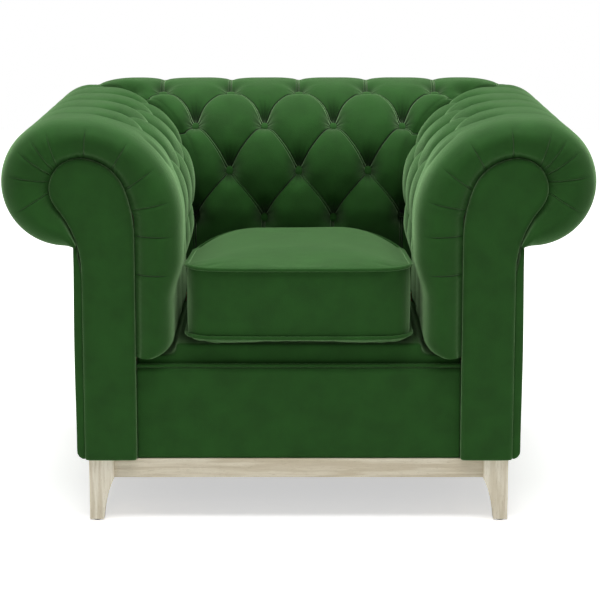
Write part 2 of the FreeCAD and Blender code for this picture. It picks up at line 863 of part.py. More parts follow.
glides = []
blocks = []
bolts = []
side_holes = {"left": [], "right": []}
cover_holes = []
BOLT_X = f"({COLUMN_IN} + sizes.rail_thickness / 2)"
BLOCK_IN = f"({LEG_IN} - sizes.block_width)"
BLOCK_LOW = "(sizes.leg_height - sizes.block_height)"
for side, sign in SIDES:
    for end in ("front", "back"):
        key = f"{end}_{side}"
        mirror = "" if sign > 0 else "-1 * "
        middle_x = f"{mirror}({FOOT_SIDE} - sizes.foot_width / 2)"
        if end == "front":
            middle_y = f"{FOOT_FRONT} + sizes.foot_width / 2"
            y0 = f"({RAIL_FRONT} + sizes.plinth_rail_thickness)"
        else:
            middle_y = f"{FOOT_REAR} - sizes.foot_width / 2"
            y0 = f"({RAIL_REAR} - sizes.plinth_rail_thickness - sizes.block_width)"
        glides.append(
            round_bar(f"glide_{key}", "sizes.glide_radius", FLOOR, middle_x, middle_y, "0")
        )
        block = side_box(
            f"block_{key}", sign, BLOCK_IN, LEG_IN, y0, f"({y0} + sizes.block_width)",
            BLOCK_LOW, "sizes.leg_height",
        )
        bolt_x = f"{mirror}{BOLT_X}"
        bolt_y = f"{y0} + sizes.block_width * 0.6"
        bore = "sizes.bolt_radius + sizes.bolt_clearance"
        hole = round_bar(f"bore_{key}", bore, "sizes.bolt_length + 20", bolt_x, bolt_y, f"{BLOCK_LOW} - 10")
        blocks.append(cut(f"drilled_block_{key}", block, [hole]))
        side_holes[side].append(
            round_bar(f"rail_bore_{key}", bore, "sizes.bolt_length + 1", bolt_x, bolt_y, BLOCK_LOW)
        )
        cover_holes.append(
            round_bar(f"cover_bore_{key}", bore, "sizes.bolt_length", bolt_x, bolt_y, BLOCK_LOW)
        )
        shank = round_bar(
            f"shank_{key}", "sizes.bolt_radius", "sizes.bolt_length", bolt_x, bolt_y, BLOCK_LOW
        )
        head = round_bar(
            f"head_{key}", "sizes.bolt_head_radius", "sizes.bolt_head_height", bolt_x, bolt_y,
            f"{BLOCK_LOW} - sizes.bolt_head_height",
        )
        bolt = doc.addObject("Part::Fuse", f"bolt_{key}")
        bolt.Base = head
        bolt.Tool = shank
        bolts.append(bolt)
node(group("foot_glides", glides), "foot_glides")
node(group("plinth_blocks", blocks), "plinth_blocks")
node(group("plinth_bolts", bolts), "plinth_bolts")

# Seat box: four rails with glued corner blocks, webbing and the dust cover below.
SEAT_FRONT = f"({BOARD_BACK} + 2)"
SEAT_BACK = BACK_IN
SEAT_IN = COLUMN_IN
SEAT_OUT = f"({COLUMN_IN} + sizes.rail_thickness)"
rail = box(
    "seat_rail_front", f"-{SEAT_IN}", SEAT_IN, SEAT_FRONT, f"{SEAT_FRONT} + sizes.rail_thickness",
    FRAME_BOTTOM, "sizes.seat_rail_top",
)
node(rail, "seat_rail_front")
rail = box(
    "seat_rail_back", f"-{SEAT_IN}", SEAT_IN, f"{SEAT_BACK} - sizes.rail_thickness", SEAT_BACK,
    FRAME_BOTTOM, "sizes.seat_rail_top",
)
node(rail, "seat_rail_back")
for side, sign in SIDES:
    rail = side_box(
        f"seat_rail_{side}_blank", sign, SEAT_IN, SEAT_OUT, BOARD_BACK, f"({BACK_OUT} - sizes.rail_thickness)",
        FRAME_BOTTOM, "sizes.seat_rail_top",
    )
    node(cut(f"seat_rail_{side}", rail, side_holes[side]), f"seat_rail_{side}")

corner_blocks = []
for side, sign in SIDES:
    for end in ("front", "back"):
        body = doc.addObject("PartDesign::Body", f"seat_block_{end}_{side}")
        inward = -1 if end == "back" else 1
        edge_y = f"({SEAT_FRONT} + sizes.rail_thickness)" if end == "front" else f"({SEAT_BACK} - sizes.rail_thickness)"
        mirror = "" if sign > 0 else "-"
        corners = [
            (f"{mirror}1 * {SEAT_IN}", edge_y),
            (f"{mirror}1 * ({SEAT_IN} - sizes.block_width * 1.4)", edge_y),
            (f"{mirror}1 * {SEAT_IN}", f"{edge_y} + {inward} * sizes.block_width * 1.4"),
        ]
        sketch = outline_sketch(body, f"seat_block_plan_{end}_{side}", "XY_Plane", corners)
        pad_up(body, sketch, f"seat_block_pad_{end}_{side}", "sizes.block_width")
        body.setExpression("Placement.Base.z", f"{FRAME_BOTTOM} + sizes.block_width")
        corner_blocks.append(body)
node(group("seat_corner_blocks", corner_blocks), "seat_corner_blocks")

cover = box(
    "dust_cover_blank", f"-{COLUMN_OUT}", COLUMN_OUT, SEAT_FRONT, BACK_OUT,
    "sizes.leg_height", FRAME_BOTTOM,
)
node(cut("dust_cover", cover, cover_holes), "dust_cover")

WEB_LOW = "sizes.seat_rail_top"
WEB_TOP = f"({WEB_LOW} + sizes.webbing_thickness)"
long_straps = []
count = int(size("long_webbing_count"))
for index in range(count):
    share = f"(({index} + 0.5) / {count} - 0.5)"
    middle = f"({share} * 2 * {SEAT_IN})"
    long_straps.append(box(
        f"long_strap_{index}", f"({middle} - sizes.webbing_width / 2)", f"({middle} + sizes.webbing_width / 2)",
        SEAT_FRONT, SEAT_BACK, WEB_LOW, WEB_TOP,
    ))
node(group("seat_webbing_long", long_straps), "seat_webbing_long")
cross_straps = []
count = int(size("cross_webbing_count"))
for index in range(count):
    share = f"(({index} + 0.5) / {count})"
    middle = f"({SEAT_FRONT} + {share} * ({SEAT_BACK} - {SEAT_FRONT}))"
    cross_straps.append(box(
        f"cross_strap_{index}", f"-{SEAT_OUT}", SEAT_OUT,
        f"({middle} - sizes.webbing_width / 2)", f"({middle} + sizes.webbing_width / 2)",
        WEB_TOP, f"{WEB_TOP} + sizes.webbing_thickness",
    ))
node(group("seat_webbing_cross", cross_straps), "seat_webbing_cross")

# Arms and back: scroll-shaped boards and posts, and the rails that join them.
TUCK_TOP = "(sizes.tuck_rail_bottom + sizes.tuck_rail_height)"
TOP_RAIL_TOP = f"({ARM_CREST} - sizes.top_rail_drop)"
TOP_RAIL_LOW = f"({TOP_RAIL_TOP} - sizes.top_rail_height)"
HEAD = "(sizes.wall_pad + sizes.scroll_offset)"
TOP_RAIL_IN = f"({INNER} + {HEAD} - sizes.top_rail_width / 2)"
TOP_RAIL_OUT = f"({INNER} + {HEAD} + sizes.top_rail_width / 2)"
BACK_RAIL_IN = f"({FACE} + sizes.seat_depth + {HEAD} - sizes.top_rail_width / 2)"
BACK_RAIL_OUT = f"({FACE} + sizes.seat_depth + {HEAD} + sizes.top_rail_width / 2)"
TACK_LOW = "(sizes.tack_rail_top - sizes.tack_rail_height)"
BASE_TOP = f"({FRAME_BOTTOM} + sizes.base_rail_height)"
POST_NEAR = f"({BACK_OUT} - sizes.corner_post_width)"
RAIL = "sizes.rail_thickness"

for side, sign in SIDES:
    mirror = "" if sign > 0 else "-1 * "
    body = doc.addObject("PartDesign::Body", f"arm_front_board_{side}")
    sketch = scroll_sketch(
        body, f"arm_board_outline_{side}", "XZ_Plane", f"{mirror}{INNER}", sign, "0", "sizes.leg_height"
    )
    pad_up(body, sketch, f"arm_board_pad_{side}", "sizes.board_thickness", backward=True)
    body.setExpression("Placement.Base.y", BOARD_FRONT)
    node(body, f"arm_front_board_{side}")

    body = doc.addObject("PartDesign::Body", f"arm_facing_{side}")
    sketch = scroll_sketch(
        body, f"arm_facing_outline_{side}", "XZ_Plane", f"{mirror}{INNER}", sign, "0", "sizes.leg_height"
    )
    pad_up(body, sketch, f"arm_facing_pad_{side}", "sizes.facing_thickness", backward=True)
    bevel_edges(
        body, f"arm_facing_bevel_{side}", "sizes.facing_edge",
        lambda middle: abs(middle.y) < 0.01 and middle.z > size("leg_height") + 1,
    )
    body.setExpression("Placement.Base.y", FACE)
    node(body, f"arm_facing_{side}")

    parts = {
        f"arm_tuck_rail_{side}": (SEAT_IN, SEAT_OUT, BOARD_BACK, BACK_IN, "sizes.tuck_rail_bottom", TUCK_TOP),
        f"arm_top_rail_{side}": (
            TOP_RAIL_IN, TOP_RAIL_OUT, BOARD_BACK, BACK_RAIL_IN, TOP_RAIL_LOW, TOP_RAIL_TOP
        ),
        f"arm_tack_rail_{side}": (
            f"({COLUMN_OUT} - {RAIL})", COLUMN_OUT, BOARD_BACK, POST_NEAR, TACK_LOW, "sizes.tack_rail_top"
        ),
        f"arm_base_rail_{side}": (
            f"({COLUMN_OUT} - {RAIL})", COLUMN_OUT, BOARD_BACK, BACK_OUT, FRAME_BOTTOM, BASE_TOP
        ),
        f"corner_post_{side}": (
            f"({COLUMN_OUT} - sizes.corner_post_width)", COLUMN_OUT, POST_NEAR, BACK_OUT, BASE_TOP, TOP_RAIL_LOW
        ),
    }
    for name, (x0, x1, y0, y1, z0, z1) in parts.items():
        node(side_box(name, sign, x0, x1, y0, y1, z0, z1), name)

BACK_RAILS = {
    "back_tuck_rail": (SEAT_OUT, BACK_IN, f"({BACK_IN} + {RAIL})", "sizes.tuck_rail_bottom", TUCK_TOP),
    "back_top_rail": (TOP_RAIL_OUT, BACK_RAIL_IN, BACK_RAIL_OUT, TOP_RAIL_LOW, TOP_RAIL_TOP),
    "back_tack_rail": (
        f"({COLUMN_OUT} - sizes.corner_post_width)", f"({BACK_OUT} - {RAIL})", BACK_OUT,
        TACK_LOW, "sizes.tack_rail_top"
    ),
    "back_base_rail": (
        f"({COLUMN_OUT} - {RAIL})", f"({BACK_OUT} - {RAIL})", BACK_OUT, FRAME_BOTTOM, BASE_TOP
    ),
}
for name, (reach, y0, y1, z0, z1) in BACK_RAILS.items():
    node(box(name, f"-{reach}", reach, y0, y1, z0, z1), name)


def back_post(name, middle):
    """Return a scroll-shaped post of the back, notched for the rails that cross it."""
    body = doc.addObject("PartDesign::Body", name)
    sketch = scroll_sketch(
        body, f"{name}_outline", "YZ_Plane", f"{FACE} + sizes.seat_depth", 1, "sizes.arm_crest_drop",
        FRAME_BOTTOM,
    )
    pad_up(body, sketch, f"{name}_pad", "sizes.post_thickness")
    for rail_name, (_, y0, y1, z0, z1) in BACK_RAILS.items():
        if rail_name == "back_tack_rail":
            y1 = f"({y1} + sizes.column_width)"
        corners = [(y0, z0), (y1, z0), (y1, z1), (y0, z1)]
        notch = outline_sketch(body, f"{name}_{rail_name}_notch", "YZ_Plane", corners)
        slot = body.newObject("PartDesign::Pocket", f"{name}_{rail_name}_slot")
        slot.Profile = notch
        slot.Type = 1
        slot.Midplane = True
        doc.recompute()
    body.setExpression("Placement.Base.x", f"{middle} - sizes.post_thickness / 2")
    return node(body, name)


back_post("back_post_centre", "0")
back_post("back_post_left", "sizes.post_spread")
back_post("back_post_right", "-sizes.post_spread")

# Outside covers over the lower arms and back, and the border below the cushion.
for side, sign in SIDES:
    mirror = "" if sign > 0 else "-1 * "
    skin = "(sizes.liner_thickness + sizes.liner_clearance)"
    body = doc.addObject("PartDesign::Body", f"arm_outside_{side}")
    corners = [
        (f"{mirror}{COLUMN_OUT}", "sizes.leg_height"),
        (f"{mirror}({SIDE} - sizes.corner_round)", "sizes.leg_height"),
        (f"{mirror}{SIDE}", "sizes.leg_height + sizes.corner_round"),
        (f"{mirror}{SIDE}", "sizes.outside_top"),
        (f"{mirror}({COLUMN_OUT} + {skin} * 2 + 0.6)", "sizes.outside_top"),
        (f"{mirror}({COLUMN_OUT} + 0.6)", "sizes.underside_start"),
        (f"{mirror}{COLUMN_OUT}", "sizes.underside_start - 1"),
    ]
    sketch = outline_sketch(
        body, f"arm_outside_outline_{side}", "XZ_Plane", corners, {1: ("sizes.corner_round", sign < 0)}
    )
    pad_up(body, sketch, f"arm_outside_pad_{side}", f"{BACK_OUT} - {FACE} - sizes.outside_front", backward=True)
    body.setExpression("Placement.Base.y", f"{FACE} + sizes.outside_front")
    node(body, f"arm_outside_{side}")

body = doc.addObject("PartDesign::Body", "back_outside")
skin = "(sizes.liner_thickness + sizes.liner_clearance)"
corners = [
    (BACK_OUT, "sizes.leg_height"),
    (f"{REAR} - sizes.corner_round", "sizes.leg_height"),
    (REAR, "sizes.leg_height + sizes.corner_round"),
    (REAR, "sizes.outside_top"),
    (f"{BACK_OUT} + {skin} * 2 + 0.6", "sizes.outside_top"),
    (f"{BACK_OUT} + 0.6", "sizes.underside_start"),
    (BACK_OUT, "sizes.underside_start - 1"),
]
sketch = outline_sketch(body, "back_outside_outline", "YZ_Plane", corners, {1: ("sizes.corner_round", False)})
pad_up(body, sketch, "back_outside_pad", f"2 * {SIDE}")
body.setExpression("Placement.Base.x", f"-{SIDE}")
node(body, "back_outside")

BORDER_FRONT = f"({FACE} + sizes.border_recess)"
body = doc.addObject("PartDesign::Body", "front_border")
corners = [
    (BORDER_FRONT, "sizes.leg_height"),
    (SEAT_FRONT, "sizes.leg_height"),
    (SEAT_FRONT, "sizes.border_top"),
    (f"{BORDER_FRONT} + sizes.border_round", "sizes.border_top"),
    (BORDER_FRONT, "sizes.border_top - sizes.border_round"),
]
sketch = outline_sketch(body, "front_border_outline", "YZ_Plane", corners, {3: ("sizes.border_round", False)})
pad_up(body, sketch, "front_border_pad", f"2 * {COLUMN_IN} - 1")
body.setExpression("Placement.Base.x", f"-{COLUMN_IN} + 0.5")
node(body, "front_border")

welt = doc.addObject("Part::Prism", "front_border_welt")
welt.Polygon = 8
welt.setExpression("Circumradius", "sizes.welt_radius")
welt.setExpression("Height", f"2 * {COLUMN_IN} - 1")
welt.Placement = Placement(Vector(0, 0, 0), Rotation(Vector(0, 1, 0), 90))
place(welt, f"-{COLUMN_IN} + 0.5", f"{BORDER_FRONT} + sizes.border_round", "sizes.border_top + sizes.welt_radius")
node(welt, "front_border_welt")

DECK_LOW = f"({WEB_TOP} + sizes.webbing_thickness + sizes.deck_gap)"
DECK_WIDE = f"({COLUMN_IN} - 0.5)"
DECK_NARROW = f"({INNER} + sizes.waist_relief - sizes.deck_crown_margin)"
body = doc.addObject("PartDesign::Body", "seat_deck")
corners = [
    (f"-{DECK_WIDE}", DECK_LOW),
    (DECK_WIDE, DECK_LOW),
    (DECK_WIDE, "sizes.deck_shoulder"),
    (DECK_NARROW, "sizes.deck_shoulder"),
    (DECK_NARROW, "sizes.deck_top"),
    (f"-{DECK_NARROW}", "sizes.deck_top"),
    (f"-{DECK_NARROW}", "sizes.deck_shoulder"),
    (f"-{DECK_WIDE}", "sizes.deck_shoulder"),
]
sketch = outline_sketch(body, "seat_deck_outline", "XZ_Plane", corners)
DECK_FRONT = SEAT_FRONT
DECK_BACK = f"({FACE} + sizes.seat_depth + sizes.waist_relief - sizes.deck_crown_margin)"
pad_up(body, sketch, "seat_deck_pad", f"{DECK_BACK} - {DECK_FRONT}", backward=True)
body.setExpression("Placement.Base.y", DECK_FRONT)
node(body, "seat_deck")

# Loose seat cushion: foam core, crowned cover with piped edges and a zip at the back.


def plan_points(grow, height):
    """Return the ring of a cushion at a height: bowed sides joined by rounded corners."""
    half = size("seat_width") / 2 - size("cushion_side_gap") - size("cushion_side_bow") + grow
    front = number(FACE) + size("cushion_front") + size("cushion_bow") - grow
    back = number(FACE) + size("seat_depth") - size("cushion_back_gap") - size("cushion_bow") + grow
    corner = max(size("cushion_corner") + grow, 4)
    centers = [
        (half - corner, back - corner, 0),
        (-half + corner, back - corner, 90),
        (-half + corner, front + corner, 180),
        (half - corner, front + corner, 270),
    ]
    points = []
    for center_x, center_y, start in centers:
        for step in range(6):
            angle = math.radians(start + 18 * step)
            points.append(
                Vector(center_x + corner * math.cos(angle), center_y + corner * math.sin(angle), height)
            )
        ahead = centers[(centers.index((center_x, center_y, start)) + 1) % 4]
        turn = math.radians(start + 90)
        end = Vector(ahead[0] + corner * math.cos(turn), ahead[1] + corner * math.sin(turn), height)
        last = points[-1]
        bow = size("cushion_bow") if start in (0, 180) else size("cushion_side_bow")
        outward = Vector(math.cos(turn), math.sin(turn), 0)
        for share in (0.2, 0.5, 0.8):
            swell = bow * 4 * share * (1 - share)
            points.append(last + (end - last) * share + outward * swell)
    return points


def cushion_levels(inset):
    """Return the growth and height of each ring of the cushion, drawn in by an inset all round."""
    low = size("cushion_low_seam")
    high = size("cushion_high_seam")
    bottom = size("cushion_bottom") + inset
    crown = size("cushion_crown") - inset
    belly = size("cushion_belly")
    rise = crown - high
    drop = low - bottom
    top = [(0, 0), (-14, 0.42), (-42, 0.76), (-90, 0.95), (-150, 1.0)]
    under = [(-120, 1.0), (-60, 0.86), (-26, 0.55), (0, 0)]
    levels = [(grow - inset, low - drop * share) for grow, share in under]
    levels.append((belly - inset, low + (high - low) * 0.35))
    levels.append((belly - inset, low + (high - low) * 0.65))
    levels += [(grow - inset, high + rise * share) for grow, share in top]
    return levels


def cushion_solid(inset):
    """Return the crowned cushion form, drawn in by an inset all round."""
    return faceted([plan_points(grow - size("cushion_belly"), height) for grow, height in cushion_levels(inset)])


cover = cushion_solid(0).cut(cushion_solid(size("cover_thickness")))
shaped("seat_cushion_cover", cover)
shaped("seat_cushion_core", cushion_solid(size("cover_thickness") + size("core_gap")))


def piping(height, grow):
    """Return an eight-sided cord that runs round the cushion at a seam."""
    radius = size("piping_radius")
    path = plan_points(grow + radius * 0.92 - size("cushion_belly"), height)
    count = len(path)
    rings = []
    for index in range(count):
        ahead = (path[(index + 1) % count] - path[index]).normalize()
        behind = (path[index] - path[index - 1]).normalize()
        along = (ahead + behind).normalize()
        aside = Vector(along.y, -along.x, 0)
        ring = []
        for step in range(6):
            angle = math.radians(60 * step + 30)
            ring.append(path[index] + aside * radius * math.cos(angle) + Vector(0, 0, radius * math.sin(angle)))
        rings.append(ring)
    return rings


def closed_cord(rings):
    """Return the solid of a cord whose last ring meets its first."""
    faces = []
    for low, high in zip(rings, rings[1:] + rings[:1]):
        for index in range(len(low)):
            after = (index + 1) % len(low)
            for corner in ((low[index], low[after], high[after]), (low[index], high[after], high[index])):
                faces.append(Part.Face(Part.makePolygon([*corner, corner[0]])))
    shell = Part.makeShell(faces)
    shell.sewShape()
    solid = Part.Solid(shell)
    if solid.Volume < 0:
        solid.reverse()
    return solid


for name, seam in (("bottom", "cushion_low_seam"), ("top", "cushion_high_seam")):
    shaped(f"cushion_piping_{name}", closed_cord(piping(size(seam), 0)))

ZIP_LEVEL = "(sizes.cushion_low_seam + (sizes.cushion_high_seam - sizes.cushion_low_seam) / 2)"
ZIP_FACE = f"({FACE} + sizes.seat_depth - sizes.cushion_back_gap)"
zip_tape = box(
    "cushion_zip", "-sizes.zip_length / 2", "sizes.zip_length / 2",
    f"{ZIP_FACE}", f"{ZIP_FACE} + sizes.zip_thickness",
    f"{ZIP_LEVEL} - sizes.zip_width / 2", f"{ZIP_LEVEL} + sizes.zip_width / 2",
)
node(zip_tape, "cushion_zip")


doc.recompute()
faults = []
for item in doc.Objects:
    state = [word for word in item.State if word in ("Invalid", "Error")]
    if state:
        faults.append(f"{item.Label}: {state}")
for item in NODES:
    if item.Shape.isNull() or not item.Shape.isValid():
        faults.append(f"{item.Label}: bad shape")
if faults:
    raise RuntimeError("; ".join(faults))
os.makedirs("parts", exist_ok=True)
for item in NODES:
    item.Shape.exportStep(f"parts/{item.Label}.step")
print(f"{len(NODES)} sub-parts written")
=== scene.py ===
"""Chesterfield armchair in green velvet, dressed over its construction model.

The chair is built up as an upholsterer does it: plinth and frame, tufted pads with their covered
buttons, facings and outside covers, and last the loose seat cushion. Lengths inside the classes are
in millimetres, in the frame of the construction model: X to the sitter's left, Y to the back, Z up.
"""

import logging
import math
from dataclasses import dataclass, field
from enum import Enum, IntEnum
from typing import Any, Callable, Sequence

import bmesh
import bpy
import numpy as np
from bpy.types import GeometryNodeTree, Material, Mesh, Node, NodeSocket, NodeTree, Object
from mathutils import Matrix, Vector

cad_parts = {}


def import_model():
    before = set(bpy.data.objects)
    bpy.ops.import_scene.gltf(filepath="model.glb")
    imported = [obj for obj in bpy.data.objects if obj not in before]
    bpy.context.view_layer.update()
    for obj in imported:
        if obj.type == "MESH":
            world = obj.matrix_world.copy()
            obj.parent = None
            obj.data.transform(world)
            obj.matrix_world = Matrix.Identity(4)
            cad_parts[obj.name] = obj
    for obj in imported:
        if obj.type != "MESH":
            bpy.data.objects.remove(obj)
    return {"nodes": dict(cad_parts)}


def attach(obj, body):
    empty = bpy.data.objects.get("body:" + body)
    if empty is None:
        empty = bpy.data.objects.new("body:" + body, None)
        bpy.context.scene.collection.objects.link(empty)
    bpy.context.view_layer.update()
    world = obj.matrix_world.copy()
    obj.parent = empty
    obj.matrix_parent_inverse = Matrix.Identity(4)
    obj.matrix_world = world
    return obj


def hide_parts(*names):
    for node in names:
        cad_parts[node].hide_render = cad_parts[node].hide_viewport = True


frame: dict[str, Any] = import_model()
LOG: logging.Logger = logging.getLogger("armchair")
MM: float = 0.001
FACE: float = -420.5  # Y of the arm facings' front, from which depths are measured
Section = tuple[tuple[float, float], ...]
Swell = Callable[[np.ndarray, np.ndarray], np.ndarray]


class Part(Enum):
    """Which moving body of the chair a piece belongs to."""

    CHAIR = "chair"
    CUSHION = "cushion"


class Side(Enum):
    """The sitter's left or right, as the sign of X."""

    LEFT = 1
    RIGHT = -1

    @property
    def word(self) -> str:
        """The side as it stands in the names of the pieces."""
        return self.name.lower()


class Grain(Enum):
    """The direction in which the fibres of a piece of wood run."""

    ALONG_X = (1.0, 14.0, 14.0)
    ALONG_Y = (14.0, 1.0, 14.0)
    ALONG_Z = (14.0, 14.0, 1.0)


def linear(code: str) -> tuple[float, float, float, float]:
    """Turn an sRGB hex colour into linear light.

    Args:
        code: six hex digits after a number sign.

    Returns:
        Red, green, blue and a full alpha.
    """
    parts = [int(code[i:i + 2], 16) / 255 for i in (1, 3, 5)]
    light = [c / 12.92 if c <= 0.04045 else ((c + 0.055) / 1.055) ** 2.4 for c in parts]
    return (light[0], light[1], light[2], 1.0)


@dataclass(frozen=True, eq=False)
class Value:
    """A value in a node tree: reckoning with it adds the nodes that do so."""

    socket: NodeSocket

    def take(self, operation: str, *others: Any) -> "Value":
        """Add one node of arithmetic whose first input is this value.

        Args:
            operation: the node's operation.
            others: its further inputs, values or plain numbers.

        Returns:
            The result.
        """
        given = dict(enumerate((self, *others)))
        node = add_node(self.socket.id_data, "ShaderNodeMath", {"operation": operation}, given)
        return Value(node.outputs[0])

    def __add__(self, other: Any) -> "Value":
        """Return the sum."""
        return self.take("ADD", other)

    def __sub__(self, other: Any) -> "Value":
        """Return the difference."""
        return self.take("SUBTRACT", other)

    def __mul__(self, other: Any) -> "Value":
        """Return the product."""
        return self.take("MULTIPLY", other)


def add_node(
    tree: NodeTree,
    kind: str,
    settings: dict[str, Any] | None = None,
    inputs: dict[Any, Any] | None = None,
) -> Node:
    """Add one node with its settings, values and links.

    Args:
        tree: the node tree.
        kind: the node's type name.
        settings: attributes of the node.
        inputs: socket name or index to a plain value, a Value or another node's output.

    Returns:
        The node.
    """
    node = tree.nodes.new(kind)
    for key, value in (settings or {}).items():
        setattr(node, key, value)
    for key, value in (inputs or {}).items():
        value = value.socket if isinstance(value, Value) else value
        if isinstance(value, NodeSocket):
            tree.links.new(value, node.inputs[key])
        else:
            node.inputs[key].default_value = value
    return node


def split_vector(tree: NodeTree, vector: NodeSocket) -> list[Value]:
    """Return a vector's parts as values."""
    return [Value(part) for part in add_node(tree, "ShaderNodeSeparateXYZ", None, {0: vector}).outputs]


@dataclass
class Surface:
    """A material in the making: its tree, its shader and the coordinate that stays on the piece."""

    name: str
    material: Material = field(init=False)
    tree: NodeTree = field(init=False)
    shader: Node = field(init=False)
    out: Node = field(init=False)
    place: NodeSocket = field(init=False)

    def __post_init__(self) -> None:
        """Start the material with its surface shader."""
        self.material = bpy.data.materials.new(self.name)
        self.material.use_nodes = True
        self.tree = self.material.node_tree
        self.tree.nodes.clear()
        self.out = self.tree.nodes.new("ShaderNodeOutputMaterial")
        self.shader = self.tree.nodes.new("ShaderNodeBsdfPrincipled")
        self.tree.links.new(self.shader.outputs[0], self.out.inputs["Surface"])
        self.place = add_node(self.tree, "ShaderNodeTexCoord").outputs["Object"]

    def noise(self, grain_mm: float, detail: float = 2.0, place: NodeSocket | None = None) -> Value:
        """Add a noise whose patches are about as large as a real size.

        Args:
            grain_mm: size of a patch in millimetres.
            detail: octaves of finer noise.
            place: the coordinate to read, where it isn't the piece's own.

        Returns:
            The noise value, around one half.
        """
        values = {
            "Vector": place or self.place, "Scale": 1000.0 / grain_mm, "Detail": detail, "Roughness": 0.55,
        }
        return Value(add_node(self.tree, "ShaderNodeTexNoise", None, values).outputs["Fac"])

    def ramp(self, factor: Value, low: tuple[float, str], high: tuple[float, str]) -> NodeSocket:
        """Colour a factor by a ramp.

        Args:
            factor: the value to colour.
            low: place and hex colour of the lower stop.
            high: the same of the upper stop.

        Returns:
            The colour.
        """
        node = add_node(self.tree, "ShaderNodeValToRGB", None, {"Fac": factor})
        for element, (place, code) in zip(node.color_ramp.elements, (low, high)):
            element.position = place
            element.color = linear(code)
        return node.outputs["Color"]

    def curve(self, value: Value, points: Sequence[tuple[float, float]]) -> Value:
        """Read a height off a drawn section.

        Args:
            value: the place across the section, from 0 to 1.
            points: places and heights of the section.

        Returns:
            The height.
        """
        held = add_node(self.tree, "ShaderNodeClamp", None, {"Value": value})
        node = add_node(self.tree, "ShaderNodeFloatCurve", None, {"Value": held.outputs[0]})
        curve = node.mapping.curves[0]
        while len(curve.points) < len(points):
            curve.points.new(0.5, 0.5)
        for spot, (place, height) in zip(curve.points, points):
            spot.location = (place, height)
            spot.handle_type = "VECTOR"
        node.mapping.update()
        return Value(node.outputs[0])

    def mix(self, share: Any, first: Any, second: Any, blend: str = "MIX") -> NodeSocket:
        """Mix two colours.

        Args:
            share: how much of the second.
            first: the one colour.
            second: the other.
            blend: the way they are mixed.

        Returns:
            The mixed colour.
        """
        settings = {"data_type": "RGBA", "blend_type": blend}
        return add_node(self.tree, "ShaderNodeMix", settings, {0: share, 6: first, 7: second}).outputs[2]

    def finish(
        self, colour: NodeSocket, height: Value, strength: float, values: dict[str, Any]
    ) -> Material:
        """Link colour and relief and set the shader's plain values.

        Args:
            colour: the base colour.
            height: the relief in metres.
            strength: strength of the relief.
            values: the shader's inputs that are the same all over.

        Returns:
            The finished material.
        """
        bump = {"Strength": strength, "Distance": 1.0, "Height": height}
        relief = add_node(self.tree, "ShaderNodeBump", None, bump).outputs[0]
        self.tree.links.new(colour, self.shader.inputs["Base Color"])
        self.tree.links.new(relief, self.shader.inputs["Normal"])
        for key, value in values.items():
            self.shader.inputs[key].default_value = value
        return self.material


def mesh_piece(
    name: str,
    points: np.ndarray,
    faces: Sequence[Sequence[int]],
    material: Material,
    smooth: bool = True,
) -> Object:
    """Make a closed piece from points in millimetres.

    Args:
        name: name of the piece.
        points: one row of X, Y and Z for each point.
        faces: indices of each face's points.
        material: its material.
        smooth: True where the surface is rounded.

    Returns:
        The new object, at the origin.
    """
    mesh = bpy.data.meshes.new(name)
    mesh.from_pydata((np.asarray(points) * MM).tolist(), [], faces)
    turned = bmesh.new()
    turned.from_mesh(mesh)
    bmesh.ops.recalc_face_normals(turned, faces=turned.faces)
    turned.to_mesh(mesh)
    turned.free()
    mesh.materials.append(material)
    mesh.polygons.foreach_set("use_smooth", [smooth] * len(mesh.polygons))
    item = bpy.data.objects.new(name, mesh)
    bpy.context.collection.objects.link(item)
    return item


def settle(item: Object) -> Object:
    """Turn a piece and its modifiers into a plain mesh.

    Args:
        item: the piece.

    Returns:
        The piece, or what takes its place where it was a curve.
    """
    graph = bpy.context.evaluated_depsgraph_get()
    graph.update()
    mesh = bpy.data.meshes.new_from_object(item.evaluated_get(graph), depsgraph=graph)
    mesh.name = item.name
    item.modifiers.clear()
    if item.type == "MESH":
        item.data = mesh
        return item
    settled = bpy.data.objects.new(item.name, mesh)
    bpy.context.collection.objects.link(settled)
    bpy.data.objects.remove(item)
    return settled


def read_points(item: Object) -> np.ndarray:
    """Return a piece's points in millimetres, one row each."""
    points = np.empty(len(item.data.vertices) * 3, np.float32)
    item.data.vertices.foreach_get("co", points)
    return points.reshape(-1, 3) / MM


def move_points(item: Object, points: np.ndarray) -> None:
    """Write a piece's points, given in millimetres."""
    item.data.vertices.foreach_set("co", (points * MM).astype(np.float32).ravel())
    item.data.update()


def dress(
    item: Object,
    slot: str,
    *nodes: str,
    part: Part = Part.CHAIR,
    fill: float | None = None,
) -> Object:
    """Hand a finished piece over to the frame.

    Args:
        item: the piece.
        slot: not used.
        nodes: the construction nodes that it stands for.
        part: the moving body that carries it.
        fill: not used.

    Returns:
        The piece.
    """
    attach(item, part.value)
    if nodes:
        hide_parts(*nodes)
    LOG.info("%s: %d faces", item.name, len(item.data.polygons))
    return item


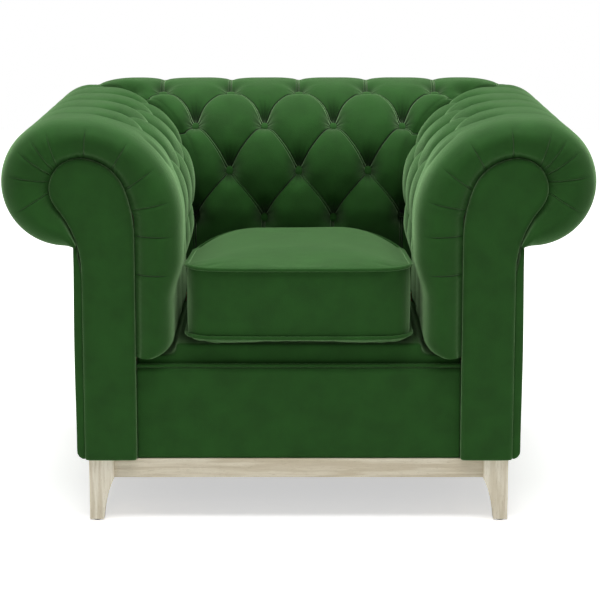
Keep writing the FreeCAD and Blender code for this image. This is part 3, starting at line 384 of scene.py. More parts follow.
@dataclass(frozen=True)
class Velvet:
    """Cotton velvet over a soft filling: dark seen from the front, pale where it is seen along the pile."""

    name: str = "velvet, green cotton pile"
    deep: str = "#1a4012"
    worn: str = "#1f4a17"
    sheen: str = "#aedc9e"
    sheen_weight: float = 0.75
    pile_mm: float = 1.4
    nap_mm: float = 46.0
    drift_mm: float = 17.0
    tufted: bool = False
    crease: Section = (
        (0.0, 0.5), (0.455, 0.5), (0.49, 0.27), (0.51, 0.27), (0.545, 0.5), (1.0, 0.5),
    )
    lapped_crease: Section = (
        (0.0, 0.5), (0.40, 0.5), (0.43, 0.3), (0.455, 0.62), (0.485, 0.6), (0.505, 0.22),
        (0.535, 0.48), (1.0, 0.5),
    )

    def creases(self, made: Surface) -> tuple[Value, Value]:
        """Draw the folds between the buttons and the pleats of the front band, with painted shade in them.

        Args:
            made: the material in the making.

        Returns:
            The height in metres and the painted shade: the colour darkened in the folds, the band's pleats
            and round each button's pocket.
        """
        maps = [
            split_vector(made.tree, add_node(made.tree, "ShaderNodeUVMap", {"uv_map": name}).outputs["UV"])
            for name in ("tufting", "band")
        ]
        strength, pocket, frill = (
            Value(add_node(made.tree, "ShaderNodeAttribute", {"attribute_name": name}).outputs["Fac"])
            for name in ("pleats", "pocket", "frill")
        )
        first, second = ((part + 0.5).take("FRACT") - 0.5 for part in maps[0][:2])
        lapped = made.curve(first * 2.2 + 0.5, self.lapped_crease)
        folds = lapped + made.curve(second * 2.2 + 0.5, self.crease) - 1.0
        reach = (first * first + second * second).take("SQRT")
        rays = (second.take("ARCTAN2", first) * 15.0).take("SINE")
        gathers = rays * ((reach * -9.0).take("EXPONENT") * 0.16)
        pleat = (made.curve(maps[1][0].take("FRACT"), self.crease) - 0.5) * frill
        total = (folds + gathers) * strength + pleat
        # Painted shade: the colour is darkened where the folds and pleats dip.
        dim = (total * 4.0 + 1.0).take("MAXIMUM", 0.04).take("MINIMUM", 1.0)
        # Painted shade: near each button the colour is darkened still more, for the shade in its pocket.
        return total * 0.006, dim * (pocket * -0.85 + 1.0)

    def build(self) -> Material:
        """Make the material.

        Returns:
            The finished material.
        """
        made = Surface(self.name)
        # The slow nap keeps large faces from looking flat; pile and drift break the light on them.
        colour = made.ramp(made.noise(self.nap_mm, 3.0), (0.3, self.deep), (0.7, self.worn))
        height = made.noise(self.drift_mm) * 0.0004 + made.noise(self.pile_mm, 1.0) * 0.00035
        if self.tufted:
            fold, dim = self.creases(made)
            height = height + fold
            # The buttoned cloth's colour is multiplied by the painted shade of its folds, pleats and pockets.
            colour = made.mix(1.0, colour, dim, "MULTIPLY")
        return made.finish(colour, height, 1.0, {
            "Roughness": 0.86, "Specular IOR Level": 0.18, "Sheen Weight": self.sheen_weight,
            "Sheen Roughness": 0.42, "Sheen Tint": linear(self.sheen),
        })


@dataclass(frozen=True)
class Wood:
    """Sawn hardwood: bands of early and late wood, fine pores along the fibres, matt or raw."""

    name: str
    grain: Grain
    pale: str
    dark: str
    pore: str
    patch_mm: float = 520.0
    ring_mm: float = 13.0
    fibre_mm: float = 30.0
    pore_mm: float = 11.0
    roughness: float = 0.55

    def build(self) -> Material:
        """Make the material.

        Returns:
            The finished material.
        """
        made = Surface(self.name)
        stretch = {"Vector": made.place, "Scale": self.grain.value}
        along = add_node(made.tree, "ShaderNodeMapping", None, stretch).outputs[0]
        # Rings wander like sawn boards; fibres and pores run along the piece.
        wander = made.noise(self.patch_mm, 3.0, along)
        rings = (wander * (self.patch_mm / self.ring_mm)).take("SINE") * 0.5 + 0.5
        fibre = made.noise(self.fibre_mm, 4.0, along)
        pores = made.noise(self.pore_mm, 1.0, along)
        colour = made.ramp(fibre * 0.55 + rings * 0.45, (0.25, self.pale), (0.75, self.dark))
        colour = made.mix(pores.take("GREATER_THAN", 0.66) * 0.4, colour, linear(self.pore))
        height = pores * -0.00035 + fibre * 0.0003
        return made.finish(colour, height, 0.7, {"Roughness": self.roughness, "Specular IOR Level": 0.35})


@dataclass(frozen=True)
class Woven:
    """Plain-woven band or cloth: crossing threads that catch the light in a fine square pattern."""

    name: str
    light: str
    dark: str
    thread_mm: float
    roughness: float = 0.8
    soil_mm: float = 30.0

    def build(self) -> Material:
        """Make the material.

        Returns:
            The finished material.
        """
        made = Surface(self.name)
        turns = math.tau / (2 * self.thread_mm * MM)
        waves = [(part * turns).take("SINE") for part in split_vector(made.tree, made.place)]
        weave = (waves[0] * waves[1] + waves[2]) * 0.25 + 0.5
        blend = made.noise(self.soil_mm, 3.0) * 0.5 + weave * 0.5
        colour = made.ramp(blend, (0.2, self.dark), (0.8, self.light))
        return made.finish(colour, weave * 0.0003, 0.8, {"Roughness": self.roughness})


@dataclass(frozen=True)
class Plain:
    """A finish with a speckle or orange-peel texture of its own scale, such as foam, board or steel."""

    name: str
    light: str
    dark: str
    grain_mm: float
    roughness: float
    metallic: float = 0.0
    relief_mm: float = 0.1

    def build(self) -> Material:
        """Make the material.

        Returns:
            The finished material.
        """
        made = Surface(self.name)
        speck = made.noise(self.grain_mm, 3.0)
        colour = made.ramp(speck, (0.35, self.dark), (0.65, self.light))
        values = {"Roughness": self.roughness, "Metallic": self.metallic}
        return made.finish(colour, speck * (self.relief_mm * MM), 0.8, values)


def smooth(low: float, high: float, value: Any) -> Any:
    """Rise from 0 at low to 1 at high without a corner."""
    part = np.clip((np.asarray(value, float) - low) / (high - low), 0.0, 1.0)
    return part * part * (3.0 - 2.0 * part)


def arc_points(centre: Sequence[float], radius: float, start: float, end: float, count: int) -> np.ndarray:
    """Return points on an arc.

    Args:
        centre: its centre.
        radius: its radius.
        start: the first angle in degrees.
        end: the last angle.
        count: number of points.

    Returns:
        One row for each point.
    """
    turn = np.radians(np.linspace(start, end, count))
    return np.stack([centre[0] + radius * np.cos(turn), centre[1] + radius * np.sin(turn)], 1)


@dataclass
class RollSection:
    """The section shared by arms and back: wall, shoulder and roll over a scroll-shaped frame.

    U runs outward from the padded wall of the seat and Z up, as on an arm.
    """

    wall: float = 87.0
    column: float = 92.0
    head: float = 181.5
    small: float = 52.5
    large: float = 83.5
    top: float = 660.0
    throat_level: float = 518.0
    under_level: float = 455.0
    under: float = 186.4
    shoulder: float = 183.0
    roll: float = 114.0
    roll_middle: float = 210.0
    crest: float = 729.0
    waist: float = 19.0
    low: float = 303.0
    foot_round: float = 34.0
    row_level: float = 461.0
    row_angles: tuple[float, ...] = (3.3, 39.6, 75.0)
    skin: float = 5.5
    end_level: float = 506.0

    def scroll(self) -> np.ndarray:
        """Draw the scroll's outline from the inner foot over the head to the outer foot.

        Returns:
            Its points.
        """
        reach = self.head - self.wall
        brow = (self.head, self.top - self.large)
        head = (self.head, self.top - self.small)
        rise = brow[1] - self.throat_level
        throat_r = (reach**2 + rise**2 - self.large**2) / (2 * (reach - self.large))
        throat = (self.wall + throat_r, self.throat_level)
        outer = self.wall + self.column
        drop = head[1] - self.under_level
        lean = outer - self.head
        under_r = (drop**2 + lean**2 - self.small**2) / (2 * (self.small - lean))
        under = (outer + under_r, self.under_level)
        meet = math.degrees(math.atan2(brow[1] - throat[1], brow[0] - throat[0]))
        turn = math.degrees(math.atan2(under[1] - head[1], under[0] - head[0]))
        pieces = [
            np.array([[self.wall, self.low]]),
            arc_points(throat, throat_r, 180.0, meet, 24),
            arc_points(brow, self.large, meet, 90.0, 24)[1:],
            arc_points(head, self.small, 90.0, turn, 28)[1:],
            arc_points(under, under_r, turn + 180.0, 180.0, 24)[1:],
        ]
        return np.concatenate(pieces)

    def reach(self, centre: tuple[float, float], degrees: np.ndarray, first: int) -> np.ndarray:
        """Return how far rays from inside the scroll run before they leave it.

        Args:
            centre: where the rays start.
            degrees: their headings.
            first: the outline's first point that can be met.

        Returns:
            The length of each ray.
        """
        line = self.scroll()[first:] - np.array(centre)
        heading = np.degrees(np.arctan2(line[:, 1], line[:, 0]))
        heading = np.where(heading < -115, heading + 360, heading)
        order = np.argsort(heading)
        return np.interp(degrees, heading[order], np.hypot(line[:, 0], line[:, 1])[order])

    def lines(self, step: float) -> tuple[np.ndarray, np.ndarray, np.ndarray]:
        """Return where the pad meets the lining and where its crown lies, up the wall and over the roll.

        Args:
            step: distance between two lines along the crown.

        Returns:
            Inner points, outer points and the way along the crown, 0 at the lowest row of buttons.
        """
        centre = (self.shoulder, self.crest - self.shoulder)
        level = np.linspace(self.low, centre[1], 120)
        waist = self.waist * (1 - smooth(401, 487, level))
        below = np.clip((self.low + self.foot_round - level) / self.foot_round, 0, 0.98)
        waist += self.foot_round * (1 - np.sqrt(1 - below**2))
        wall_out = np.stack([waist, level], 1)
        wall_in = np.stack([np.full_like(level, self.wall - self.skin), level], 1)
        turn = np.linspace(0.0, 90.0, 140)[1:]
        heading = np.radians(180.0 - turn)
        way = np.stack([np.cos(heading), np.sin(heading)], 1)
        arc_out = np.array(centre) + way * self.shoulder
        run = self.reach(centre, 180.0 - turn, 1) + self.skin
        ray_in = np.array(centre) + way * run[:, None]
        flat_in = np.stack([np.full_like(turn, self.wall - self.skin), arc_out[:, 1]], 1)
        blend = np.clip((turn - self.row_angles[0]) / 12.1, 0, 1)[:, None]
        low_rise = self.shoulder * math.sin(math.radians(self.row_angles[0]))
        pin_low = np.array([self.wall - self.skin, centre[1] + low_rise])
        pin_high = ray_in[np.searchsorted(turn, 15.4)]
        between = pin_low * (1 - blend) + pin_high * blend
        arc_in = np.where(blend >= 1, ray_in, np.where(blend <= 0, flat_in, between))
        hub = (self.roll_middle, self.crest - self.roll)
        turn = np.linspace(90.0, -90.0, 200)
        heading = np.radians(turn)
        way = np.stack([np.cos(heading), np.sin(heading)], 1)
        roll_out = np.array(hub) + way * self.roll
        roll_in = np.array(hub) + way * (self.reach(hub, turn, 26) + self.skin)[:, None]
        drop = self.end_level - self.under_level
        edge = self.wall + self.column + self.under - math.sqrt(self.under**2 - drop**2)
        last_in = np.array([[edge + 1.0, self.end_level]])
        last_out = last_in + np.array([[6.0, -5.0]])
        inner = np.concatenate([wall_in, arc_in, roll_in, last_in])
        outer = np.concatenate([wall_out, arc_out, roll_out, last_out])
        length = np.concatenate([[0.0], np.cumsum(np.hypot(*np.diff(outer, axis=0).T))])
        count = int(length[-1] / step) + 1
        along = np.linspace(0.0, length[-1], count)
        inner = np.stack([np.interp(along, length, inner[:, axis]) for axis in (0, 1)], 1)
        outer = np.stack([np.interp(along, length, outer[:, axis]) for axis in (0, 1)], 1)
        start = np.interp(self.row_level, level, length[: len(level)])
        return inner, outer, along - start

    def rows(self) -> np.ndarray:
        """Place the rows of buttons.

        Returns:
            Their way along the crown, from the lowest up.
        """
        lift = self.crest - self.shoulder - self.row_level
        arcs = [lift + self.shoulder * math.radians(angle) for angle in self.row_angles]
        return np.array([0.0, *arcs])


@dataclass
class Tufting:
    """Deep buttoning: pockets on a staggered grid, joined by folds that bend into each pocket."""

    rows: np.ndarray
    pitch: float = 140.0
    pocket: float = 25.0
    fold: float = 5.0
    bowl: float = 7.0
    bend: float = 0.55
    spacing: float = 116.0
    edge_spacing: float = 24.0
    blend: float = 5.0
    fold_reach: float = 6.5
    bowl_reach: float = 27.0
    pocket_reach: float = 20.5
    painted_shade_reach: float = 17.0
    roll_ease: float = 0.45

    def grid(self, along: np.ndarray, across: np.ndarray) -> tuple[np.ndarray, ...]:
        """Place points on the slanting grid of the folds.

        Args:
            along: way along the crown.
            across: way from a button of the uppermost row.

        Returns:
            The two slanting coordinates, whole on a fold, and the way past the outermost rows.
        """
        row = np.interp(along, self.rows, np.arange(len(self.rows), dtype=float))
        upper = np.ceil(row)
        part = upper - row
        swept = (1 - self.bend) * part + self.bend * np.sin(part * math.pi / 2)
        level = upper - swept
        q = across / (self.pitch / 2)
        past = np.maximum(along - self.rows[-1], 0) + np.maximum(self.rows[0] - along, 0)
        return (level + q - 1) / 2, (level - q - 1) / 2, past

    def depth(
        self, along: np.ndarray, across: np.ndarray, fade_front: bool
    ) -> tuple[np.ndarray, ...]:
        """Return how deep the cover lies under the crown.

        Args:
            along: way along the crown.
            across: way from a button of the uppermost row.
            fade_front: True where no fold runs forward of the first button.

        Returns:
            The depth, the two slanting coordinates, the strength of the folds and the nearness of a button,
            which the cloth turns into painted shade.
        """
        first, second, past = self.grid(along, across)
        metric = self.spacing + self.edge_spacing * smooth(0, 40, past)
        to_first = np.abs(first - np.round(first)) * metric
        to_second = np.abs(second - np.round(second)) * metric
        near = -self.blend * np.log(np.exp(-to_first / self.blend) + np.exp(-to_second / self.blend))
        near = np.maximum(near, 0.0)
        button = np.sqrt(to_first**2 + to_second**2 + past**2)
        strength = np.ones_like(near)
        if fade_front:
            strength *= smooth(-26.0, -3.0, across)
        above = smooth(0, 60, along - self.rows[-1])
        strength *= 1 - self.roll_ease * above * smooth(60, 260, along - self.rows[-1])
        strength *= 1 - 0.6 * smooth(10, 120, self.rows[0] - along)
        valley = self.fold * np.exp(-near / self.fold_reach) * (1 - 0.35 * above)
        valley += self.bowl * (1 - 0.62 * above) * np.exp(-((near / self.bowl_reach) ** 2))
        valley *= strength
        upper_row = smooth(-30, 0, along - self.rows[-1])
        hole = self.pocket * (1 - self.roll_ease * upper_row) * np.exp(-((button / self.pocket_reach) ** 1.8))
        return valley + hole, first, second, strength, np.exp(-((button / self.painted_shade_reach) ** 2))


def ring_faces(rings: int, count: int) -> list[tuple[int, ...]]:
    """Return the faces of a closed tube of rings, with a face over each end.

    Args:
        rings: number of rings.
        count: number of points in each.

    Returns:
        The indices of each face's points.
    """
    faces: list[tuple[int, ...]] = []
    for low in range(0, (rings - 1) * count, count):
        for spot in range(count):
            after = (spot + 1) % count
            faces.append((low + spot, low + after, low + count + after, low + count + spot))
    return faces + [tuple(range(count - 1, -1, -1)), tuple(range((rings - 1) * count, rings * count))]


def give_map(item: Object, name: str, values: np.ndarray) -> None:
    """Write two values of each point as a UV map.

    Args:
        item: the piece.
        name: the map's name.
        values: one row of two values for each point.
    """
    layer = item.data.uv_layers.new(name=name)
    corner = np.empty(len(item.data.loops), int)
    item.data.loops.foreach_get("vertex_index", corner)
    layer.data.foreach_set("uv", values[corner].astype(np.float32).ravel())


def give_value(item: Object, name: str, values: np.ndarray) -> None:
    """Write one value of each point as an attribute of that name."""
    layer = item.data.attributes.new(name, "FLOAT", "POINT")
    layer.data.foreach_set("value", values.astype(np.float32))


class Column(IntEnum):
    """What the columns of a pad's point data hold."""

    FIRST = 0
    SECOND = 1
    PLEATS = 2
    # POCKET holds the nearness of a button, read by the cloth as painted shade.
    POCKET = 3
    NUMBER = 4
    SHARE = 5
    FRILL = 6


@dataclass
class TuftedPad:
    """A buttoned pad with its covered buttons, drawn as a tube of rings round filling and cover."""

    section: RollSection
    cloth: Material
    step: float = 3.6
    seat_depth: float = 529.0
    half_seat: float = 206.0
    gap: float = 0.4
    mitre_fold: float = 9.0
    corner_pocket: float = 15.0
    frill_depth: float = 2.2
    deepest: float = 0.42
    button_proud: float = 1.5
    mitre_points: int = 6
    front_pleats: tuple[float, ...] = ()
    tufting: Tufting = field(init=False)
    inner: np.ndarray = field(init=False)
    outer: np.ndarray = field(init=False)
    along: np.ndarray = field(init=False)

    def __post_init__(self) -> None:
        """Work out the section's lines and the rows of buttons."""
        self.tufting = Tufting(self.section.rows())
        self.inner, self.outer, self.along = self.section.lines(self.step)

    def line(self, index: int) -> tuple[np.ndarray, np.ndarray, float, np.ndarray]:
        """Return one line of the section.

        Args:
            index: its number.

        Returns:
            Its inner and outer end, its length and its direction.
        """
        start, end = self.inner[index], self.outer[index]
        thick = float(np.linalg.norm(end - start))
        return start, end, thick, (end - start) / thick

    def mitre_depth(self, along: np.ndarray, distance: np.ndarray) -> np.ndarray:
        """Return how deep the cover dips towards the mitred corner with the next pad.

        Args:
            along: way along the crown.
            distance: distance to the mitre.

        Returns:
            The depth at each point.
        """
        row = along - self.tufting.rows[-1]
        pocket = self.corner_pocket * np.exp(-(((distance**2 + row**2) ** 0.5) / 21.0) ** 1.7)
        fold = self.mitre_fold * np.exp(-np.maximum(distance, 0) / 9.0)
        return fold * (1 - 0.25 * smooth(0, 80, row)) + pocket

    def uneven(self, along: np.ndarray, across: np.ndarray) -> np.ndarray:
        """Return the slow unevenness of hand-laid filling."""
        return 0.7 * np.sin(along / 37.0 + across / 51.0) * np.sin(across / 43.0 - along / 61.0 + 1.3)

    def fold_front(self) -> tuple[np.ndarray, np.ndarray]:
        """Lay the front band's pleats over the lines of the section.

        Returns:
            Each line's running number of a pleat and its distance to the nearest one.
        """
        marks = np.array(self.front_pleats)
        nearest = np.argmin(np.abs(self.along[:, None] - marks[None, :]), 1)
        signed = self.along - marks[nearest]
        return nearest + 0.5 + np.clip(signed / 24.0, -0.5, 0.5), np.abs(signed)

    def past_end(self, index: int, depth: float) -> float:
        """Find where a line's crown meets the mitre.

        Args:
            index: the line's number.
            depth: how far under its outer end.

        Returns:
            The distance from the middle of the seat.
        """
        start, end, thick, _ = self.line(index)
        return self.half_seat + end[0] + (start[0] - end[0]) * depth / thick - self.gap

    def sew(self, name: str, rings: list[np.ndarray], maps: list[np.ndarray]) -> Object:
        """Close the rings to a piece and give it the maps that its cloth reads.

        Args:
            name: name of the piece.
            rings: the points of each ring.
            maps: the data of each ring's points, by Column.

        Returns:
            The piece.
        """
        item = mesh_piece(name, np.concatenate(rings), ring_faces(len(rings), len(rings[0])), self.cloth)
        data = np.concatenate(maps)
        give_map(item, "tufting", data[:, [Column.FIRST, Column.SECOND]])
        give_map(item, "band", data[:, [Column.NUMBER, Column.SHARE]])
        # The pocket attribute carries painted shade round the buttons.
        for column in (Column.PLEATS, Column.FRILL, Column.POCKET):
            give_value(item, column.name.lower(), data[:, column])
        return item

    def spot(self, level: float, across: float, fade_front: bool) -> tuple[np.ndarray, np.ndarray]:
        """Find where a button sits.

        Args:
            level: the row's way along the crown.
            across: way from a button of the uppermost row.
            fade_front: True where no fold runs forward of the first button.

        Returns:
            Its point and its direction in the section.
        """
        start, _, thick, rise = self.line(int(np.argmin(np.abs(self.along - level))))
        deep, *_ = self.tufting.depth(np.array([level]), np.array([across]), fade_front)
        return start + rise * (thick - deep[0] + self.button_proud), rise


@dataclass
class ArmPad(TuftedPad):
    """An arm's pad: tufted wall and roll, with the pleated band that bulges round the facing."""

    side: Side = Side.LEFT
    first_button: float = 145.0
    crest_start: float = 48.0
    band_points: int = 36
    crown_points: int = 172
    lining_points: int = 8
    lining_front: float = 12.5
    root: float = 4.8

    def band(self, thick: float) -> tuple[np.ndarray, np.ndarray]:
        """Return the band's line at one place, from the facing's edge over its bulge to the crest.

        Args:
            thick: depth of the pad there.

        Returns:
            Points of depth and height, and the normals there.
        """
        swell = min(1.0, thick / self.section.shoulder * 3)
        marks = np.array([
            (13.2, 0.0), (7.0, 0.035), (-3.0 * swell, 0.15), (-9.5 * swell, 0.33), (-11.8 * swell, 0.5),
            (-7.0 * swell, 0.68), (6.0, 0.86), (24.0, 0.957), (self.crest_start, 1.0),
        ])
        marks[:, 1] *= thick
        marks[0, 1] = -self.root
        ends = np.vstack([marks[0] - (marks[1] - marks[0]) * 0.3, marks, marks[-1] + (24.0, 0.0)])
        spots = np.linspace(0, len(marks) - 1, self.band_points)
        cell = np.minimum(spots.astype(int), len(marks) - 2)
        t = (spots - cell)[:, None]
        p0, p1, p2, p3 = (ends[cell + shift] for shift in range(4))
        bend = (2 * p0 - 5 * p1 + 4 * p2 - p3) * t**2 + (3 * p1 - p0 - 3 * p2 + p3) * t**3
        line = 0.5 * (2 * p1 + (p2 - p0) * t + bend)
        way = np.gradient(line, axis=0)
        way /= np.linalg.norm(way, axis=1)[:, None]
        return line, np.stack([-way[:, 1], way[:, 0]], 1)

    def build(self) -> Object:
        """Make the pad.

        Returns:
            The pad as a closed piece.
        """
        rings, maps = [], []
        number, distance = self.fold_front()
        share = np.linspace(0, 1, self.band_points)
        low_share = np.linspace(0, 1, self.mitre_points + 1)[1:, None]
        past = self.seat_depth - self.half_seat
        for index, along in enumerate(self.along):
            start, end, thick, rise = self.line(index)
            mitre = self.seat_depth + end[0] - self.gap
            mitre_low = self.seat_depth + start[0] - self.gap
            band, normal = self.band(thick)
            near = distance[index]
            pleat = math.exp(-((near / 3.6) ** 2)) - 0.35 * math.exp(-(((near - 8) / 5) ** 2))
            reach = smooth(0.02, 0.12, share) * (1 - smooth(0.5, 0.74, share)) * min(1.0, thick / 60)
            gather = 0.35 * np.sin(along / 2.1) * np.exp(-((share - 0.1) / 0.14) ** 2)
            band = band - normal * ((self.frill_depth * pleat + gather) * reach)[:, None]
            place = np.linspace(self.crest_start, mitre, self.crown_points)[1:]
            way = np.full_like(place, along)
            depth, first, second, strength, pocket = self.tufting.depth(way, place - self.first_button, True)
            ramp = smooth(58, 112, place)
            depth = depth * ramp + self.mitre_depth(way, mitre - place) + self.uneven(way, place) * ramp
            depth = np.minimum(depth, self.deepest * thick)
            crown = np.stack([place, thick - depth], 1)
            crown[-1, 0] = past + self.past_end(index, depth[-1])
            closing = crown[-1:] * (1 - low_share) + np.array([[mitre_low, 0.0]]) * low_share
            back = np.linspace(mitre_low, self.lining_front, self.lining_points + 2)[1:-1]
            ring = np.concatenate([band, crown, closing, np.stack([back, np.zeros_like(back)], 1)])
            x = (self.half_seat + start[0] + rise[0] * ring[:, 1]) * self.side.value
            rings.append(np.stack([x, FACE + ring[:, 0], start[1] + rise[1] * ring[:, 1]], 1))
            info = np.zeros((len(ring), len(Column)))
            ahead, crest = slice(0, len(band)), slice(len(band), len(band) + len(crown))
            # The last column, the nearness of a button, is kept for the painted shade round the pockets.
            info[crest, :4] = np.stack([first, second, strength * smooth(70, 120, place), pocket], 1)
            info[ahead, :2] = (first[0], second[0])
            info[crest.stop:, :2] = (first[-1], second[-1])
            info[:, Column.NUMBER] = number[index]
            info[ahead, Column.SHARE] = share
            info[ahead, Column.FRILL] = reach
            maps.append(info)
        return self.sew(f"arm_cover_{self.side.word}", rings, maps)

    def spots(self) -> tuple[np.ndarray, np.ndarray]:
        """Find the arm's buttons.

        Returns:
            Their places and the directions they face.
        """
        places, ways = [], []
        sign = self.side.value
        for row, level in enumerate(self.tufting.rows):
            for count in range(3):
                across = self.tufting.pitch * (count + (0.5 if row % 2 == 0 else 0.0))
                spot, rise = self.spot(level, across, True)
                places.append(((self.half_seat + spot[0]) * sign, FACE + self.first_button + across, spot[1]))
                ways.append((rise[0] * sign, 0.0, rise[1]))
        return np.array(places), np.array(ways)


@dataclass
class BackPad(TuftedPad):
    """The back's pad, mitred into the arms at both ends."""

    lift: float = 12.0
    arm_shoulder: float = 345.0
    arm_crest: float = 476.0
    crown_points: int = 312
    lining_points: int = 12
    button_rows: tuple[tuple[float, ...], ...] = (
        (-0.5, 0.5), (-1, 0, 1), (-1.5, -0.5, 0.5, 1.5), (-2, -1, 0, 1, 2),
    )

    def build(self) -> Object:
        """Make the pad.

        Returns:
            The pad as a closed piece.
        """
        rings, maps = [], []
        share = np.linspace(0, 1, self.mitre_points + 1)[1:, None]
        for index, along in enumerate(self.along):
            start, end, thick, rise = self.line(index)
            mitre = self.half_seat + end[0] - self.gap
            mitre_low = self.half_seat + start[0] - self.gap
            place = np.linspace(-mitre, mitre, self.crown_points)
            way = np.full_like(place, along)
            depth, first, second, strength, pocket = self.tufting.depth(way, place, False)
            depth = depth + self.mitre_depth(way, mitre - np.abs(place)) + self.uneven(way, place + 20)
            depth = np.minimum(depth, self.deepest * thick)
            crown = np.stack([place, thick - depth], 1)
            for spot, sign in ((0, -1), (-1, 1)):
                crown[spot, 0] = sign * self.past_end(index, depth[spot])
            corner = np.array([[mitre_low, 0.0]])
            closing = crown[-1:] * (1 - share) + corner * share
            opening = (crown[:1] * (1 - share) + corner * [[-1, 1]] * share)[::-1]
            back = np.linspace(mitre_low, -mitre_low, self.lining_points + 2)[1:-1]
            ring = np.concatenate([opening, crown, closing, np.stack([back, np.zeros_like(back)], 1)])
            y = FACE + self.seat_depth + start[0] + rise[0] * ring[:, 1]
            z = start[1] + rise[1] * ring[:, 1]
            z = z + self.lift * (1 - smooth(self.arm_shoulder, self.arm_crest, np.abs(ring[:, 0])))
            rings.append(np.stack([ring[:, 0], y, z], 1))
            info = np.zeros((len(ring), len(Column)))
            crest = slice(len(opening), len(opening) + len(crown))
            # The last column, the nearness of a button, is kept for the painted shade round the pockets.
            info[crest, :4] = np.stack([first, second, strength, pocket], 1)
            info[: crest.start, :2] = (first[0], second[0])
            info[crest.stop:, :2] = (first[-1], second[-1])
            maps.append(info)
        return self.sew("back_cover", rings, maps)

    def spots(self) -> tuple[np.ndarray, np.ndarray]:
        """Find the back's buttons.

        Returns:
            Their places and the directions they face.
        """
        places, ways = [], []
        for level, row in zip(self.tufting.rows, self.button_rows):
            for count in row:
                across = self.tufting.pitch * count
                spot, rise = self.spot(level, across, False)
                places.append((across, FACE + self.seat_depth + spot[0], spot[1] + self.lift))
                ways.append((0.0, rise[0], rise[1]))
        return np.array(places), np.array(ways)


def open_tree(name: str, *wanted: str) -> tuple[GeometryNodeTree, Any]:
    """Start a geometry tree with a geometry input and named number inputs.

    Args:
        name: the tree's name.
        wanted: names of its number inputs.

    Returns:
        The tree and the outputs of its input node.
    """
    tree = bpy.data.node_groups.new(name, "GeometryNodeTree")
    tree.interface.new_socket("Geometry", in_out="INPUT", socket_type="NodeSocketGeometry")
    for entry in wanted:
        tree.interface.new_socket(entry, in_out="INPUT", socket_type="NodeSocketFloat")
    tree.interface.new_socket("Geometry", in_out="OUTPUT", socket_type="NodeSocketGeometry")
    return tree, tree.nodes.new("NodeGroupInput").outputs


def close_tree(tree: GeometryNodeTree, made: Node, cloth: Material) -> None:
    """End a tree with real, smooth geometry in its material.

    Args:
        tree: the tree.
        made: the last node of the shape.
        cloth: the material.
    """
    real = add_node(tree, "GeometryNodeRealizeInstances", None, {"Geometry": made.outputs[0]})
    round_off = add_node(tree, "GeometryNodeSetShadeSmooth", None, {"Geometry": real.outputs[0]})
    dressed = {"Geometry": round_off.outputs[0], "Material": cloth}
    dressed_node = add_node(tree, "GeometryNodeSetMaterial", None, dressed)
    add_node(tree, "NodeGroupOutput", None, {"Geometry": dressed_node.outputs[0]})


def button_tree(cloth: Material) -> GeometryNodeTree:
    """Build the tree that sets one covered button on each point, along the point's direction.

    Args:
        cloth: material of the buttons.

    Returns:
        The node tree, with inputs for the button's radius and rise.
    """
    tree, given = open_tree("covered buttons", "Radius", "Rise")
    ball = add_node(tree, "GeometryNodeMeshUVSphere", None, {"Segments": 28, "Rings": 14, "Radius": 1.0})
    size = {"X": given["Radius"], "Y": given["Radius"], "Z": given["Rise"]}
    scale = add_node(tree, "ShaderNodeCombineXYZ", None, size).outputs[0]
    shape = {"Geometry": ball.outputs["Mesh"], "Scale": scale}
    shaped = add_node(tree, "GeometryNodeTransform", None, shape).outputs[0]
    named = {"data_type": "FLOAT_VECTOR"}
    facing = add_node(tree, "GeometryNodeInputNamedAttribute", named, {"Name": "facing"})
    way = {"Vector": facing.outputs["Attribute"]}
    turned = add_node(tree, "FunctionNodeAlignEulerToVector", {"axis": "Z"}, way).outputs[0]
    put = {"Points": given["Geometry"], "Instance": shaped, "Rotation": turned}
    close_tree(tree, add_node(tree, "GeometryNodeInstanceOnPoints", None, put), cloth)
    return tree


def pipe_tree(cloth: Material) -> GeometryNodeTree:
    """Build the tree that sews a round piping along a line, with a stitch dimple at each step.

    Args:
        cloth: material of the piping.

    Returns:
        The node tree, with inputs for the radius, the step and the depth of a stitch.
    """
    tree, given = open_tree("sewn piping", "Radius", "Step", "Dimple")
    pace = {"Curve": given["Geometry"], "Length": given["Step"]}
    spaced = add_node(tree, "GeometryNodeResampleCurve", {"mode": "LENGTH"}, pace).outputs[0]
    order = Value(add_node(tree, "GeometryNodeInputIndex").outputs[0])
    width = (order * 1.3).take("SINE") * given["Dimple"] + 1.0
    sized = add_node(tree, "GeometryNodeSetCurveRadius", None, {"Curve": spaced, "Radius": width}).outputs[0]
    round_section = {"Resolution": 14, "Radius": given["Radius"]}
    ring = add_node(tree, "GeometryNodeCurvePrimitiveCircle", None, round_section).outputs[0]
    sweep = {"Curve": sized, "Profile Curve": ring, "Fill Caps": True}
    swept = add_node(tree, "GeometryNodeCurveToMesh", None, sweep)
    if "Scale" in swept.inputs:
        tree.links.new(width.socket, swept.inputs["Scale"])
    close_tree(tree, swept, cloth)
    return tree


def grow(item: Object, tree: GeometryNodeTree, **sizes: float) -> Object:
    """Run a geometry tree on an object and return the plain mesh.

    Args:
        item: the object with the points or the line.
        tree: the node tree.
        sizes: the tree's inputs by their names in small letters.

    Returns:
        The settled piece.
    """
    bpy.context.collection.objects.link(item)
    modifier = item.modifiers.new(tree.name, "NODES")
    modifier.node_group = tree
    for entry in tree.interface.items_tree:
        if entry.item_type == "SOCKET" and entry.in_out == "INPUT" and entry.name.lower() in sizes:
            modifier[entry.identifier] = sizes[entry.name.lower()]
    return settle(item)


